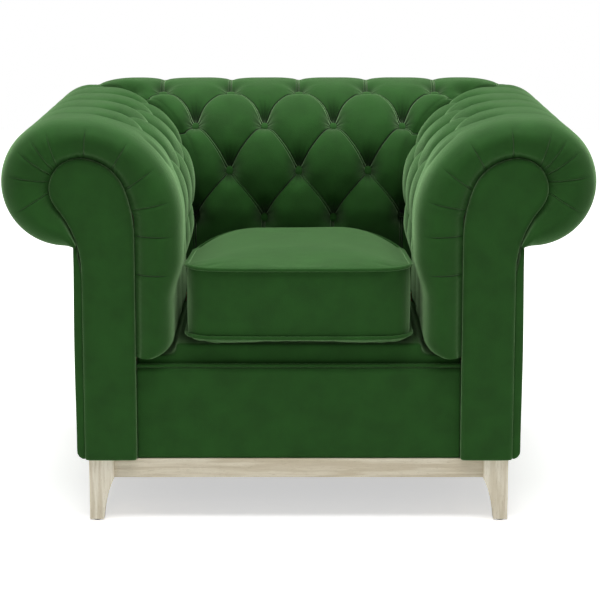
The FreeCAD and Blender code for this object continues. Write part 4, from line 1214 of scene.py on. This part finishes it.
def set_buttons(
    name: str, places: np.ndarray, ways: np.ndarray, tree: GeometryNodeTree
) -> Object:
    """Set covered buttons on places.

    Args:
        name: name of the piece.
        places: the points they sit on.
        ways: the directions they face.
        tree: the buttons' node tree.

    Returns:
        All the buttons as one plain mesh.
    """
    mesh = bpy.data.meshes.new(name)
    mesh.from_pydata((places * MM).tolist(), [], [])
    layer = mesh.attributes.new("facing", "FLOAT_VECTOR", "POINT")
    layer.data.foreach_set("vector", ways.astype(np.float32).ravel())
    return grow(bpy.data.objects.new(name, mesh), tree, radius=11.0 * MM, rise=5.5 * MM)


def mend(mesh: Mesh, distance: float, turn: bool = False) -> None:
    """Join a mesh's doubled points.

    Args:
        mesh: the mesh.
        distance: how far apart joined points may lie, in metres.
        turn: True where its faces are then turned outward.
    """
    joined = bmesh.new()
    joined.from_mesh(mesh)
    bmesh.ops.remove_doubles(joined, verts=joined.verts, dist=distance)
    if turn:
        bmesh.ops.recalc_face_normals(joined, faces=joined.faces)
    joined.to_mesh(mesh)
    joined.free()


def sew_piping(
    name: str, line: np.ndarray, closed: bool, radius: float, tree: GeometryNodeTree
) -> Object:
    """Sew a piping along a line.

    Args:
        name: name of the piece.
        line: the points of its middle.
        closed: True where it runs all round.
        radius: its radius.
        tree: the piping's node tree.

    Returns:
        The piping as a plain mesh.
    """
    curve = bpy.data.curves.new(name, "CURVE")
    curve.dimensions = "3D"
    spline = curve.splines.new("POLY")
    spline.points.add(len(line) - 1)
    rows = np.concatenate([line * MM, np.ones((len(line), 1))], 1)
    spline.points.foreach_set("co", rows.astype(np.float32).ravel())
    spline.use_cyclic_u = closed
    piped = grow(bpy.data.objects.new(name, curve), tree, radius=radius * MM, step=2.6 * MM, dimple=0.05)
    mend(piped.data, 0.00002, True)
    return piped


@dataclass
class Upholstered:
    """A board or rail under thin padding: its edges are rounded by the cloth drawn over them."""

    cloth: Material
    voxel: float = 4.0
    rounds: int = 7

    def cover(self, name: str, node: str, swell: Swell | None = None) -> Object:
        """Draw cloth over one construction node.

        Args:
            name: name of the piece.
            node: the node it stands for.
            swell: moves the points, in millimetres and with their normals, where the cloth lies off the node.

        Returns:
            The new piece.
        """
        mesh = frame["nodes"][node].data.copy()
        mesh.name = name
        mend(mesh, 0.00005)
        mesh.materials.clear()
        mesh.materials.append(self.cloth)
        item = bpy.data.objects.new(name, mesh)
        bpy.context.collection.objects.link(item)
        remesh = item.modifiers.new("skin", "REMESH")
        remesh.mode = "VOXEL"
        remesh.voxel_size = self.voxel * MM
        remesh.use_smooth_shade = True
        relax = item.modifiers.new("drawn", "SMOOTH")
        relax.factor = 0.5
        relax.iterations = self.rounds
        settle(item)
        item.data.materials.clear()
        item.data.materials.append(self.cloth)
        if swell is not None:
            normals = np.array([vertex.normal for vertex in item.data.vertices])
            move_points(item, swell(read_points(item), normals))
        item.data.polygons.foreach_set("use_smooth", [True] * len(item.data.polygons))
        item.data.update()
        return item


@dataclass
class SeatCushion:
    """The loose seat cushion: crowned panels and a boxed side between two piped seams."""

    cloth: Material
    half: float = 201.2
    front: float = 9.0
    back: float = 523.0
    corner: float = 42.0
    back_corner: float = 26.0
    bottom: float = 323.2
    low_seam: float = 339.0
    high_seam: float = 463.0
    crown: float = 481.0
    piping: float = 3.5
    travel: float = 9.0
    frames: int = 14
    crowned: float = 0.72
    cell: float = 6.0
    points: int = 240
    held: float = 5.5

    def outline(self, inset: float) -> np.ndarray:
        """Return the plan's outline, drawn in by an inset, as points of X and depth.

        Args:
            inset: how far it lies inside the full outline.

        Returns:
            The points, evenly spaced, counter-clockwise.
        """
        half = self.half - inset
        front, back = self.front + inset, self.back - inset
        near = max(self.corner - inset, 4.0)
        far = max(self.back_corner - inset, 4.0)
        pieces = [
            arc_points((half - near, front + near), near, -90, 0, 20),
            arc_points((half - far, back - far), far, 0, 90, 14),
            arc_points((-half + far, back - far), far, 90, 180, 14),
            arc_points((-half + near, front + near), near, 180, 270, 20),
        ]
        line = np.concatenate(pieces)
        closed = np.vstack([line, line[:1]])
        length = np.concatenate([[0.0], np.cumsum(np.hypot(*np.diff(closed, axis=0).T))])
        spots = np.linspace(0, length[-1], self.points, endpoint=False)
        even = np.stack([np.interp(spots, length, closed[:, axis]) for axis in (0, 1)], 1)
        share = 1 - (even[:, 0] / half) ** 2
        bow = 5.0 * np.clip(share, 0, 1) * (even[:, 1] < front + near)
        even[:, 1] -= bow * smooth(front + near, front, even[:, 1])
        return even

    def seam_level(self, line: np.ndarray, level: float) -> np.ndarray:
        """Return the height of a seam, which rises a little towards the corners.

        Args:
            line: its points of X and depth.
            level: its height in the middle.

        Returns:
            The height at each point.
        """
        corner = np.clip(np.abs(line[:, 0]) / self.half, 0, 1) ** 6
        return level + 3.0 * corner * (1 if level > 400 else 0.5)

    def sink(self, points: np.ndarray) -> np.ndarray:
        """Return how far the case sinks where the tufted back and arms press on its rear.

        Args:
            points: points of the case or a seam, in millimetres.

        Returns:
            The drop of each point: most at the upper rear corners, none at the bottom.
        """
        deep = points[:, 1] - FACE
        aside = np.clip((np.abs(points[:, 0]) - 80) / 121, 0, 1.03) ** 2.2
        full = 10.0 * smooth(330, 523, deep) + 38.0 * aside * np.clip((deep - 50) / 473, 0, 1) ** 0.85
        share = (points[:, 2] - self.low_seam) / (self.high_seam - self.low_seam)
        return full * np.clip(share, 0, 1.1)

    def shell(self) -> Object:
        """Make the sewn case before it is filled.

        Returns:
            The case, on a mesh of rings.
        """
        levels = (
            (self.bottom, 22.0), (self.bottom + 3, 10.0), (self.low_seam - 5, 3.0), (self.low_seam, 0.5),
            (self.low_seam + 20, 1.5), (401.0, 2.0), (self.high_seam - 20, 1.5), (self.high_seam, 0.5),
            (self.high_seam + 5.5, 5.0), (self.high_seam + 10.5, 16.0), (self.high_seam + 14, 40.0),
            (self.crown - 3, 80.0), (self.crown - 1, 130.0),
        )
        rings = []
        for level, inset in levels:
            line = self.outline(inset)
            flat = np.full(len(line), level)
            height = self.seam_level(line, level) if level >= self.low_seam else flat
            rings.append(np.stack([line[:, 0], FACE + line[:, 1], height], 1))
        faces = ring_faces(len(rings), self.points)
        return mesh_piece("seat_cushion_case", np.concatenate(rings), faces, self.cloth)

    def path(self, inset: float, level: float) -> np.ndarray:
        """Draw the line of a seam.

        Args:
            inset: how far it lies inside the full outline.
            level: its height in the middle.

        Returns:
            Its points.
        """
        line = self.outline(inset)
        return np.stack([line[:, 0], FACE + line[:, 1], self.seam_level(line, level)], 1)

    def press(self, item: Object) -> None:
        """Blow the case up by pressure, with its seams held.

        Args:
            item: the case, with its group of held points.
        """
        cloth = item.modifiers.new("filling", "CLOTH")
        wanted = {
            "quality": 5, "mass": 0.35, "tension_stiffness": 22, "compression_stiffness": 18,
            "bending_stiffness": 1.2, "use_pressure": True, "uniform_pressure_force": 4.0,
            "vertex_group_mass": "seams",
        }
        for key, value in wanted.items():
            setattr(cloth.settings, key, value)
        cloth.settings.effector_weights.gravity = 0.0
        cloth.collision_settings.use_collision = False
        cloth.point_cache.frame_start = 1
        cloth.point_cache.frame_end = self.frames
        for step in range(1, self.frames + 1):
            bpy.context.scene.frame_set(step)
        settle(item)
        bpy.context.scene.frame_set(1)

    def fill(self) -> Object:
        """Fill the case by a pressure simulation whose seams are held.

        Returns:
            The filled case.
        """
        item = self.shell()
        remesh = item.modifiers.new("cloth grid", "REMESH")
        remesh.mode = "VOXEL"
        remesh.voxel_size = self.cell * MM
        settle(item)
        rest = read_points(item)
        seams = np.concatenate([self.path(0.5, level) for level in (self.low_seam, self.high_seam)])
        near = np.array([np.sqrt(((seams - point) ** 2).sum(1).min()) for point in rest])
        group = item.vertex_groups.new(name="seams")
        group.add([int(spot) for spot in np.nonzero(near < self.held)[0]], 1.0, "REPLACE")
        self.press(item)
        moved = read_points(item) - rest
        size = np.linalg.norm(moved, axis=1)[:, None]
        moved *= np.minimum(1.0, self.travel / np.maximum(size, 1e-6))
        points = rest + moved
        rise = np.maximum(points[:, 2] - self.high_seam, 0)
        rear = np.clip((points[:, 1] - FACE - 180) / 345, 0, 1) ** 4
        side = np.clip(np.abs(points[:, 0]) / 205, 0, 1) ** 4
        keep = self.crowned * (1 - 0.45 * side) * (1 - 0.4 * rear)
        points[:, 2] -= rise * (1 - keep) * smooth(0, 6, rise)
        sunk = smooth(0, 1, (points[:, 2] - self.high_seam) / 8)
        points[:, 2] += 0.9 * np.sin(points[:, 0] / 47.0) * np.sin(points[:, 1] / 59.0 + 0.7) * sunk
        points[:, 2] -= self.sink(points)
        # The case may swell no further than its place between arms, back and platform.
        room = ((-204.6, FACE - 2.0, self.bottom), (204.6, FACE + 526.0, 492.0))
        move_points(item, np.clip(points, *room))
        finer = item.modifiers.new("finer", "SUBSURF")
        finer.levels = 1
        finer.render_levels = 1
        settle(item)
        item.name = "seat_cushion_case"
        item.data.materials.clear()
        item.data.materials.append(self.cloth)
        item.data.polygons.foreach_set("use_smooth", [True] * len(item.data.polygons))
        return item

    def set_core(self, points: np.ndarray, normals: np.ndarray) -> np.ndarray:
        """Draw the foam core in from the case, so that the cloth stands free of it all round.

        Args:
            points: the core's points.
            normals: their normals.

        Returns:
            The moved points.
        """
        middle = np.array([0.0, FACE + (self.front + self.back) / 2, self.bottom])
        drawn = middle + (points - middle) * np.array([0.965, 0.965, 0.85]) + np.array([0.0, 0.0, 4.0])
        drawn[:, 2] -= self.sink(drawn)
        return drawn

    def seam(self, name: str, level: float, tree: GeometryNodeTree) -> Object:
        """Sew the piping of one seam.

        Args:
            name: name of the piece.
            level: height of the seam in the middle.
            tree: the piping's node tree.

        Returns:
            The piping.
        """
        path = self.path(-1.6, level)
        path[:, 2] -= self.sink(path)
        return sew_piping(name, path, True, self.piping, tree)


def tuck_top(points: np.ndarray, rise: float) -> np.ndarray:
    """Carry a cover's upper edge up behind the roll's foot, where its tacks are hidden.

    Args:
        points: the cover's points.
        rise: how far up.

    Returns:
        The moved points.
    """
    top = points[:, 2].max()
    points[:, 2] += rise * smooth(top - 14, top - 4, points[:, 2])
    return points


@dataclass
class ArmSide:
    """One arm as the upholsterer finishes it: pad, buttons, facing and outside cover."""

    side: Side
    section: RollSection
    tufted: Material
    plain: Material
    button: GeometryNodeTree
    facing_inner: float = 293.0
    facing_outer: float = 385.0
    pleats: tuple[float, ...] = (-8.0, 62.0, 128.0, 200.0, 272.0, 356.0, 432.0, 468.0, 505.0, 561.0, 640.0)

    def crown_facing(self, points: np.ndarray, normals: np.ndarray) -> np.ndarray:
        """Raise the middle of the facing a little over its board and draw its edges round the back.

        Args:
            points: the cover's points.
            normals: their normals.

        Returns:
            The moved points.
        """
        deep = points[:, 1] - FACE
        points[:, 1] += smooth(6, 12, deep) * 4.0
        points += normals * np.array([1.0, 0.0, 1.0]) * (smooth(1, 6, deep) * 1.1)[:, None]
        middle = (self.facing_inner + self.facing_outer) / 2
        across = np.abs(np.abs(points[:, 0]) - middle) / 46.0
        front = smooth(FACE + 6, FACE, points[:, 1])
        points[:, 1] -= front * (1.6 * np.clip(1 - across**2, 0, 1) + 0.35 * np.sin(points[:, 2] / 39.0))
        return points

    def slack_outside(self, points: np.ndarray, normals: np.ndarray) -> np.ndarray:
        """Let the outside cover lie a little hollow over its frame, and tuck in its upper edge.

        Args:
            points: the cover's points.
            normals: their normals.

        Returns:
            The moved points.
        """
        outside = smooth(0.6, 0.95, np.abs(normals[:, 0])) * (np.abs(points[:, 0]) > self.facing_outer + 9)
        wave = 0.9 * np.sin(points[:, 1] / 83.0 + 0.4) * np.sin(points[:, 2] / 67.0)
        points[:, 0] -= np.sign(points[:, 0]) * outside * (0.9 + wave)
        return tuck_top(points, 6.0)

    def build(self) -> None:
        """Make the arm's pieces and hand them over."""
        word = self.side.word
        pad = ArmPad(self.section, self.tufted, side=self.side, front_pleats=self.pleats)
        dress(pad.build(), "padded_velvet", f"arm_pad_{word}", fill=0.8)
        buttons = set_buttons(f"arm_covered_buttons_{word}", *pad.spots(), self.button)
        dress(buttons, "velvet", f"arm_buttons_{word}")
        board = Upholstered(self.plain, 3.2, 5)
        facing = board.cover(f"arm_front_facing_{word}", f"arm_facing_{word}", self.crown_facing)
        dress(facing, "velvet", f"arm_facing_{word}", fill=0.9)
        panel = Upholstered(self.plain, 5.0, 6)
        outside = panel.cover(f"arm_outside_cover_{word}", f"arm_outside_{word}", self.slack_outside)
        dress(outside, "velvet", f"arm_outside_{word}", fill=0.9)


@dataclass
class BackRest:
    """The tufted back with its buttons and outside cover."""

    section: RollSection
    tufted: Material
    plain: Material
    button: GeometryNodeTree

    def tuck(self, points: np.ndarray, normals: np.ndarray) -> np.ndarray:
        """Tuck in the cover's upper edge."""
        return tuck_top(points, 9.0)

    def build(self) -> None:
        """Make the back's pieces and hand them over."""
        pad = BackPad(self.section, self.tufted)
        dress(pad.build(), "padded_velvet", "back_pad", fill=0.8)
        dress(set_buttons("back_covered_buttons", *pad.spots(), self.button), "velvet", "back_buttons")
        outside = Upholstered(self.plain, 5.0, 6).cover("back_outside_cover", "back_outside", self.tuck)
        dress(outside, "velvet", "back_outside", fill=0.9)


@dataclass
class SeatFront:
    """What shows below the cushion: the covered platform, the front border and its welt."""

    plain: Material
    piping: GeometryNodeTree
    half: float = 291.5
    welt_place: tuple[float, float] = (25.0, 284.5)

    def draw_border(self, points: np.ndarray, normals: np.ndarray) -> np.ndarray:
        """Give the border the slight pull of cloth that is tacked at its lower edge.

        Args:
            points: the cover's points.
            normals: their normals.

        Returns:
            The moved points.
        """
        front = smooth(0.5, 0.95, -normals[:, 1])
        points[:, 1] -= front * 0.5 * np.sin(points[:, 0] / 58.0) * np.sin(points[:, 2] / 44.0)
        return points

    def build(self) -> None:
        """Make the pieces and hand them over."""
        padded = Upholstered(self.plain, 3.6, 5)
        border = padded.cover("front_border_cover", "front_border", self.draw_border)
        dress(border, "velvet", "front_border", fill=0.9)
        platform = Upholstered(self.plain, 5.0, 6).cover("seat_platform", "seat_deck")
        dress(platform, "velvet", "seat_deck", fill=0.9)
        across = np.linspace(-self.half, self.half, 120)
        depth, level = self.welt_place
        line = np.stack([across, np.full_like(across, FACE + depth), np.full_like(across, level)], 1)
        dress(sew_piping("front_welt", line, False, 3.4, self.piping), "velvet", "front_border_welt")


@dataclass
class Frame:
    """Plinth, frame timbers, linings, webbing and small fittings, kept in their construction shape."""

    oak: dict[Grain, Material]
    beech: dict[Grain, Material]
    margin: Material

    def build(self) -> None:
        """Give each construction node the finish of the real piece."""
        along, up, lengthwise = Grain.ALONG_X, Grain.ALONG_Z, Grain.ALONG_Y
        # Greyboard looks dull and flecked, webbing ribbed, zinc bright with a fine grain, the rest plain.
        board = Plain("greyboard, rolled", "#a89c86", "#8d8270", 2.0, 0.9).build()
        webbing = Woven("elastic webbing, woven", "#c9c2b0", "#6b5f4c", 2.2).build()
        steel = Plain("steel, zinc-plated", "#c9ccd0", "#a9adb2", 0.8, 0.35, 1.0, 0.02).build()
        chosen: dict[str, Material] = {
            "foot_glides": Plain("glide, moulded polyethylene", "#4a4743", "#37342f", 1.2, 0.5).build(),
            "dust_cover": Woven("dust cloth, spun-bonded", "#2b2b2c", "#151516", 1.2, 0.95).build(),
            "cushion_zip": Woven("zip tape, woven polyester", "#2f5a31", "#16361a", 1.0).build(),
            "plinth_bolts": steel, "seat_webbing_long": webbing, "seat_webbing_cross": webbing,
            "back_lining": board, "plinth_blocks": self.beech[lengthwise],
            "seat_corner_blocks": self.beech[along], "back_post_centre": self.beech[up],
        }
        for end in ("front", "back"):
            chosen[f"plinth_rail_{end}"] = self.oak[along]
            chosen[f"seat_rail_{end}"] = self.beech[along]
        for rail in ("tuck", "top", "tack", "base"):
            chosen[f"back_{rail}_rail"] = self.beech[along]
        for word in (side.word for side in Side):
            chosen[f"plinth_rail_{word}"] = self.oak[lengthwise]
            chosen[f"leg_front_{word}"] = chosen[f"leg_back_{word}"] = self.oak[up]
            chosen[f"seat_rail_{word}"] = self.beech[lengthwise]
            chosen[f"back_post_{word}"] = chosen[f"corner_post_{word}"] = self.beech[up]
            # The pad's cloth is turned over and tacked on the board behind the facing.
            chosen[f"arm_front_board_{word}"] = self.margin
            chosen[f"arm_lining_{word}"] = board
            for rail in ("tuck", "top", "tack", "base"):
                chosen[f"arm_{rail}_rail_{word}"] = self.beech[lengthwise]
        for name, material in chosen.items():
            mesh = frame["nodes"][name].data
            mesh.materials.clear()
            mesh.materials.append(material)
        LOG.info("frame: %d pieces finished", len(chosen))


@dataclass
class Studio:
    """Plain pale floor, soft light from above and a weaker wide light from the front."""

    camera_place: tuple[float, float, float] = (0.0023, -4.1105, 1.120)
    pitch: float = 10.9
    lens: float = 126.84
    floor_glow: float = 0.55
    aim: tuple[float, float, float] = (0.0, 0.0, 0.4)

    def lamp(self, name: str, place: Sequence[float], size: float, radiance: float) -> None:
        """Hang one square soft light.

        Args:
            name: its name.
            place: where it hangs, in metres.
            size: its side.
            radiance: how bright its face is.
        """
        light = bpy.data.lights.new(name, "AREA")
        light.shape = "SQUARE"
        light.size = size
        light.energy = radiance * size * size * math.pi
        item = bpy.data.objects.new(name, light)
        item.location = place
        item.rotation_euler = (Vector(self.aim) - Vector(place)).to_track_quat("-Z", "Y").to_euler()
        bpy.context.collection.objects.link(item)

    def seen(self, tree: NodeTree) -> Value:
        """Return 1 for rays that show a surface to the eye and 0 for those that only light others.

        Args:
            tree: the node tree.

        Returns:
            The value.
        """
        path = add_node(tree, "ShaderNodeLightPath").outputs
        seen = Value(path["Is Camera Ray"]).take("MAXIMUM", path["Is Glossy Ray"])
        return seen.take("MAXIMUM", path["Is Transmission Ray"])

    def floor(self) -> None:
        """Lay the pale floor, which keeps the chair's shadow."""
        made = Surface("painted studio floor")
        tree = made.tree
        tone = made.ramp(made.noise(400.0), (0.3, "#fbfbfa"), (0.7, "#fdfdfc"))
        made.finish(tone, made.noise(3.0) * 0.00002, 0.2, {"Roughness": 0.9, "Specular IOR Level": 0.0})
        length = {"operation": "LENGTH"}
        away = add_node(tree, "ShaderNodeVectorMath", length, {0: made.place}).outputs["Value"]
        far = {"Value": away, "From Min": 0.8, "From Max": 1.7, "To Min": self.floor_glow, "To Max": 1.0}
        glow = add_node(tree, "ShaderNodeMapRange", {"interpolation_type": "SMOOTHSTEP"}, far).outputs[0]
        white = (1, 1, 1, 1)
        bright = add_node(tree, "ShaderNodeEmission", None, {"Color": white, "Strength": glow}).outputs[0]
        dark = add_node(tree, "ShaderNodeEmission", None, {"Color": white, "Strength": 0.0}).outputs[0]
        shares = {0: self.seen(tree), 1: dark, 2: bright}
        chosen = add_node(tree, "ShaderNodeMixShader", None, shares).outputs[0]
        both = add_node(tree, "ShaderNodeAddShader", None, {0: made.shader.outputs[0], 1: chosen})
        tree.links.new(both.outputs[0], made.out.inputs["Surface"])
        mesh = bpy.data.meshes.new("studio_floor")
        mesh.from_pydata([(-6, -6, 0), (6, -6, 0), (6, 6, 0), (-6, 6, 0)], [], [(0, 1, 2, 3)])
        mesh.materials.append(made.material)
        item = bpy.data.objects.new("studio_floor", mesh)
        bpy.context.collection.objects.link(item)

    def world(self, level: float) -> None:
        """Light the scene evenly from all round; what the camera sees of it is white.

        Args:
            level: how bright the light is.
        """
        world = bpy.data.worlds.new("studio")
        bpy.context.scene.world = world
        world.use_nodes = True
        tree = world.node_tree
        tree.nodes.clear()
        dim = add_node(tree, "ShaderNodeBackground", None, {"Color": (1, 1, 1, 1), "Strength": level})
        white = add_node(tree, "ShaderNodeBackground", None, {"Color": (1, 1, 1, 1), "Strength": 1.0})
        shares = {0: self.seen(tree), 1: dim.outputs[0], 2: white.outputs[0]}
        mixed = add_node(tree, "ShaderNodeMixShader", None, shares)
        out = tree.nodes.new("ShaderNodeOutputWorld")
        tree.links.new(mixed.outputs[0], out.inputs["Surface"])

    def build(self) -> None:
        """Set up camera, lights, floor and world."""
        scene = bpy.context.scene
        scene.view_settings.view_transform = "Standard"
        camera = bpy.data.cameras.new("photograph")
        camera.lens = self.lens
        camera.sensor_width = 36.0
        item = bpy.data.objects.new("photograph", camera)
        item.location = self.camera_place
        item.rotation_euler = (math.radians(90 - self.pitch), 0.0, 0.0)
        bpy.context.collection.objects.link(item)
        scene.camera = item
        self.lamp("overhead softbox", (0.0, -0.3, 3.1), 3.0, 5.2)
        self.lamp("front wall", (0.0, -5.2, 2.0), 2.6, 1.1)
        self.floor()
        self.world(0.14)


def main() -> None:
    """Build the chair's sub-assemblies in order and hand each piece over."""
    logging.basicConfig(level=logging.INFO)
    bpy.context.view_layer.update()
    Studio().build()
    # Both velvets are one cloth: deep green head-on, pale along the pile; the buttoned one is creased and
    # carries painted shade in its folds and round its buttons.
    tufted = Velvet(name="velvet, green cotton pile, buttoned", sheen_weight=0.64, tufted=True).build()
    plain = Velvet().build()
    section = RollSection()
    button = button_tree(plain)
    piping = pipe_tree(plain)
    # Whitewashed oak gives the plinth a pale, dry look, its rails a darker copy as painted shade; raw beech
    # is warmer and only shows inside.
    leg, rail = ("#efe8d6", "#d8cdb5", "#b5a789"), ("#ded5c0", "#c8bca3", "#a6987a")
    raw = ("#d9b98d", "#c29a68", "#8f6b43")
    oak, beech = {}, {}
    for grain in Grain:
        # Legs take the lit tone of the oak; rails along X and Y take a darker copy of it as painted shade.
        tones = leg if grain is Grain.ALONG_Z else rail
        oak[grain] = Wood(f"oak, whitewashed, {grain.name}", grain, *tones).build()
        beech[grain] = Wood(f"beech, sawn, {grain.name}", grain, *raw, roughness=0.7).build()
    Frame(oak, beech, plain).build()
    for side in Side:
        ArmSide(side, section, tufted, plain, button).build()
    BackRest(section, tufted, plain, button).build()
    SeatFront(plain, piping).build()
    # Cut foam looks creamy and evenly porous.
    foam = Plain("foam, cut polyether", "#e9dfc4", "#d9cca8", 1.8, 0.95, relief_mm=0.4).build()
    cushion = SeatCushion(plain)
    dress(cushion.fill(), "padded_velvet", "seat_cushion_cover", part=Part.CUSHION, fill=0.85)
    for name, level in (("bottom", cushion.low_seam), ("top", cushion.high_seam)):
        seam = cushion.seam(f"cushion_seam_{name}", level, piping)
        dress(seam, "velvet", f"cushion_piping_{name}", part=Part.CUSHION)
    core = Upholstered(foam, 7.0, 5).cover("seat_cushion_foam", "seat_cushion_core", cushion.set_core)
    dress(core, "cushion_foam", "seat_cushion_core", part=Part.CUSHION, fill=0.9)


if __name__ == "__main__":
    main()
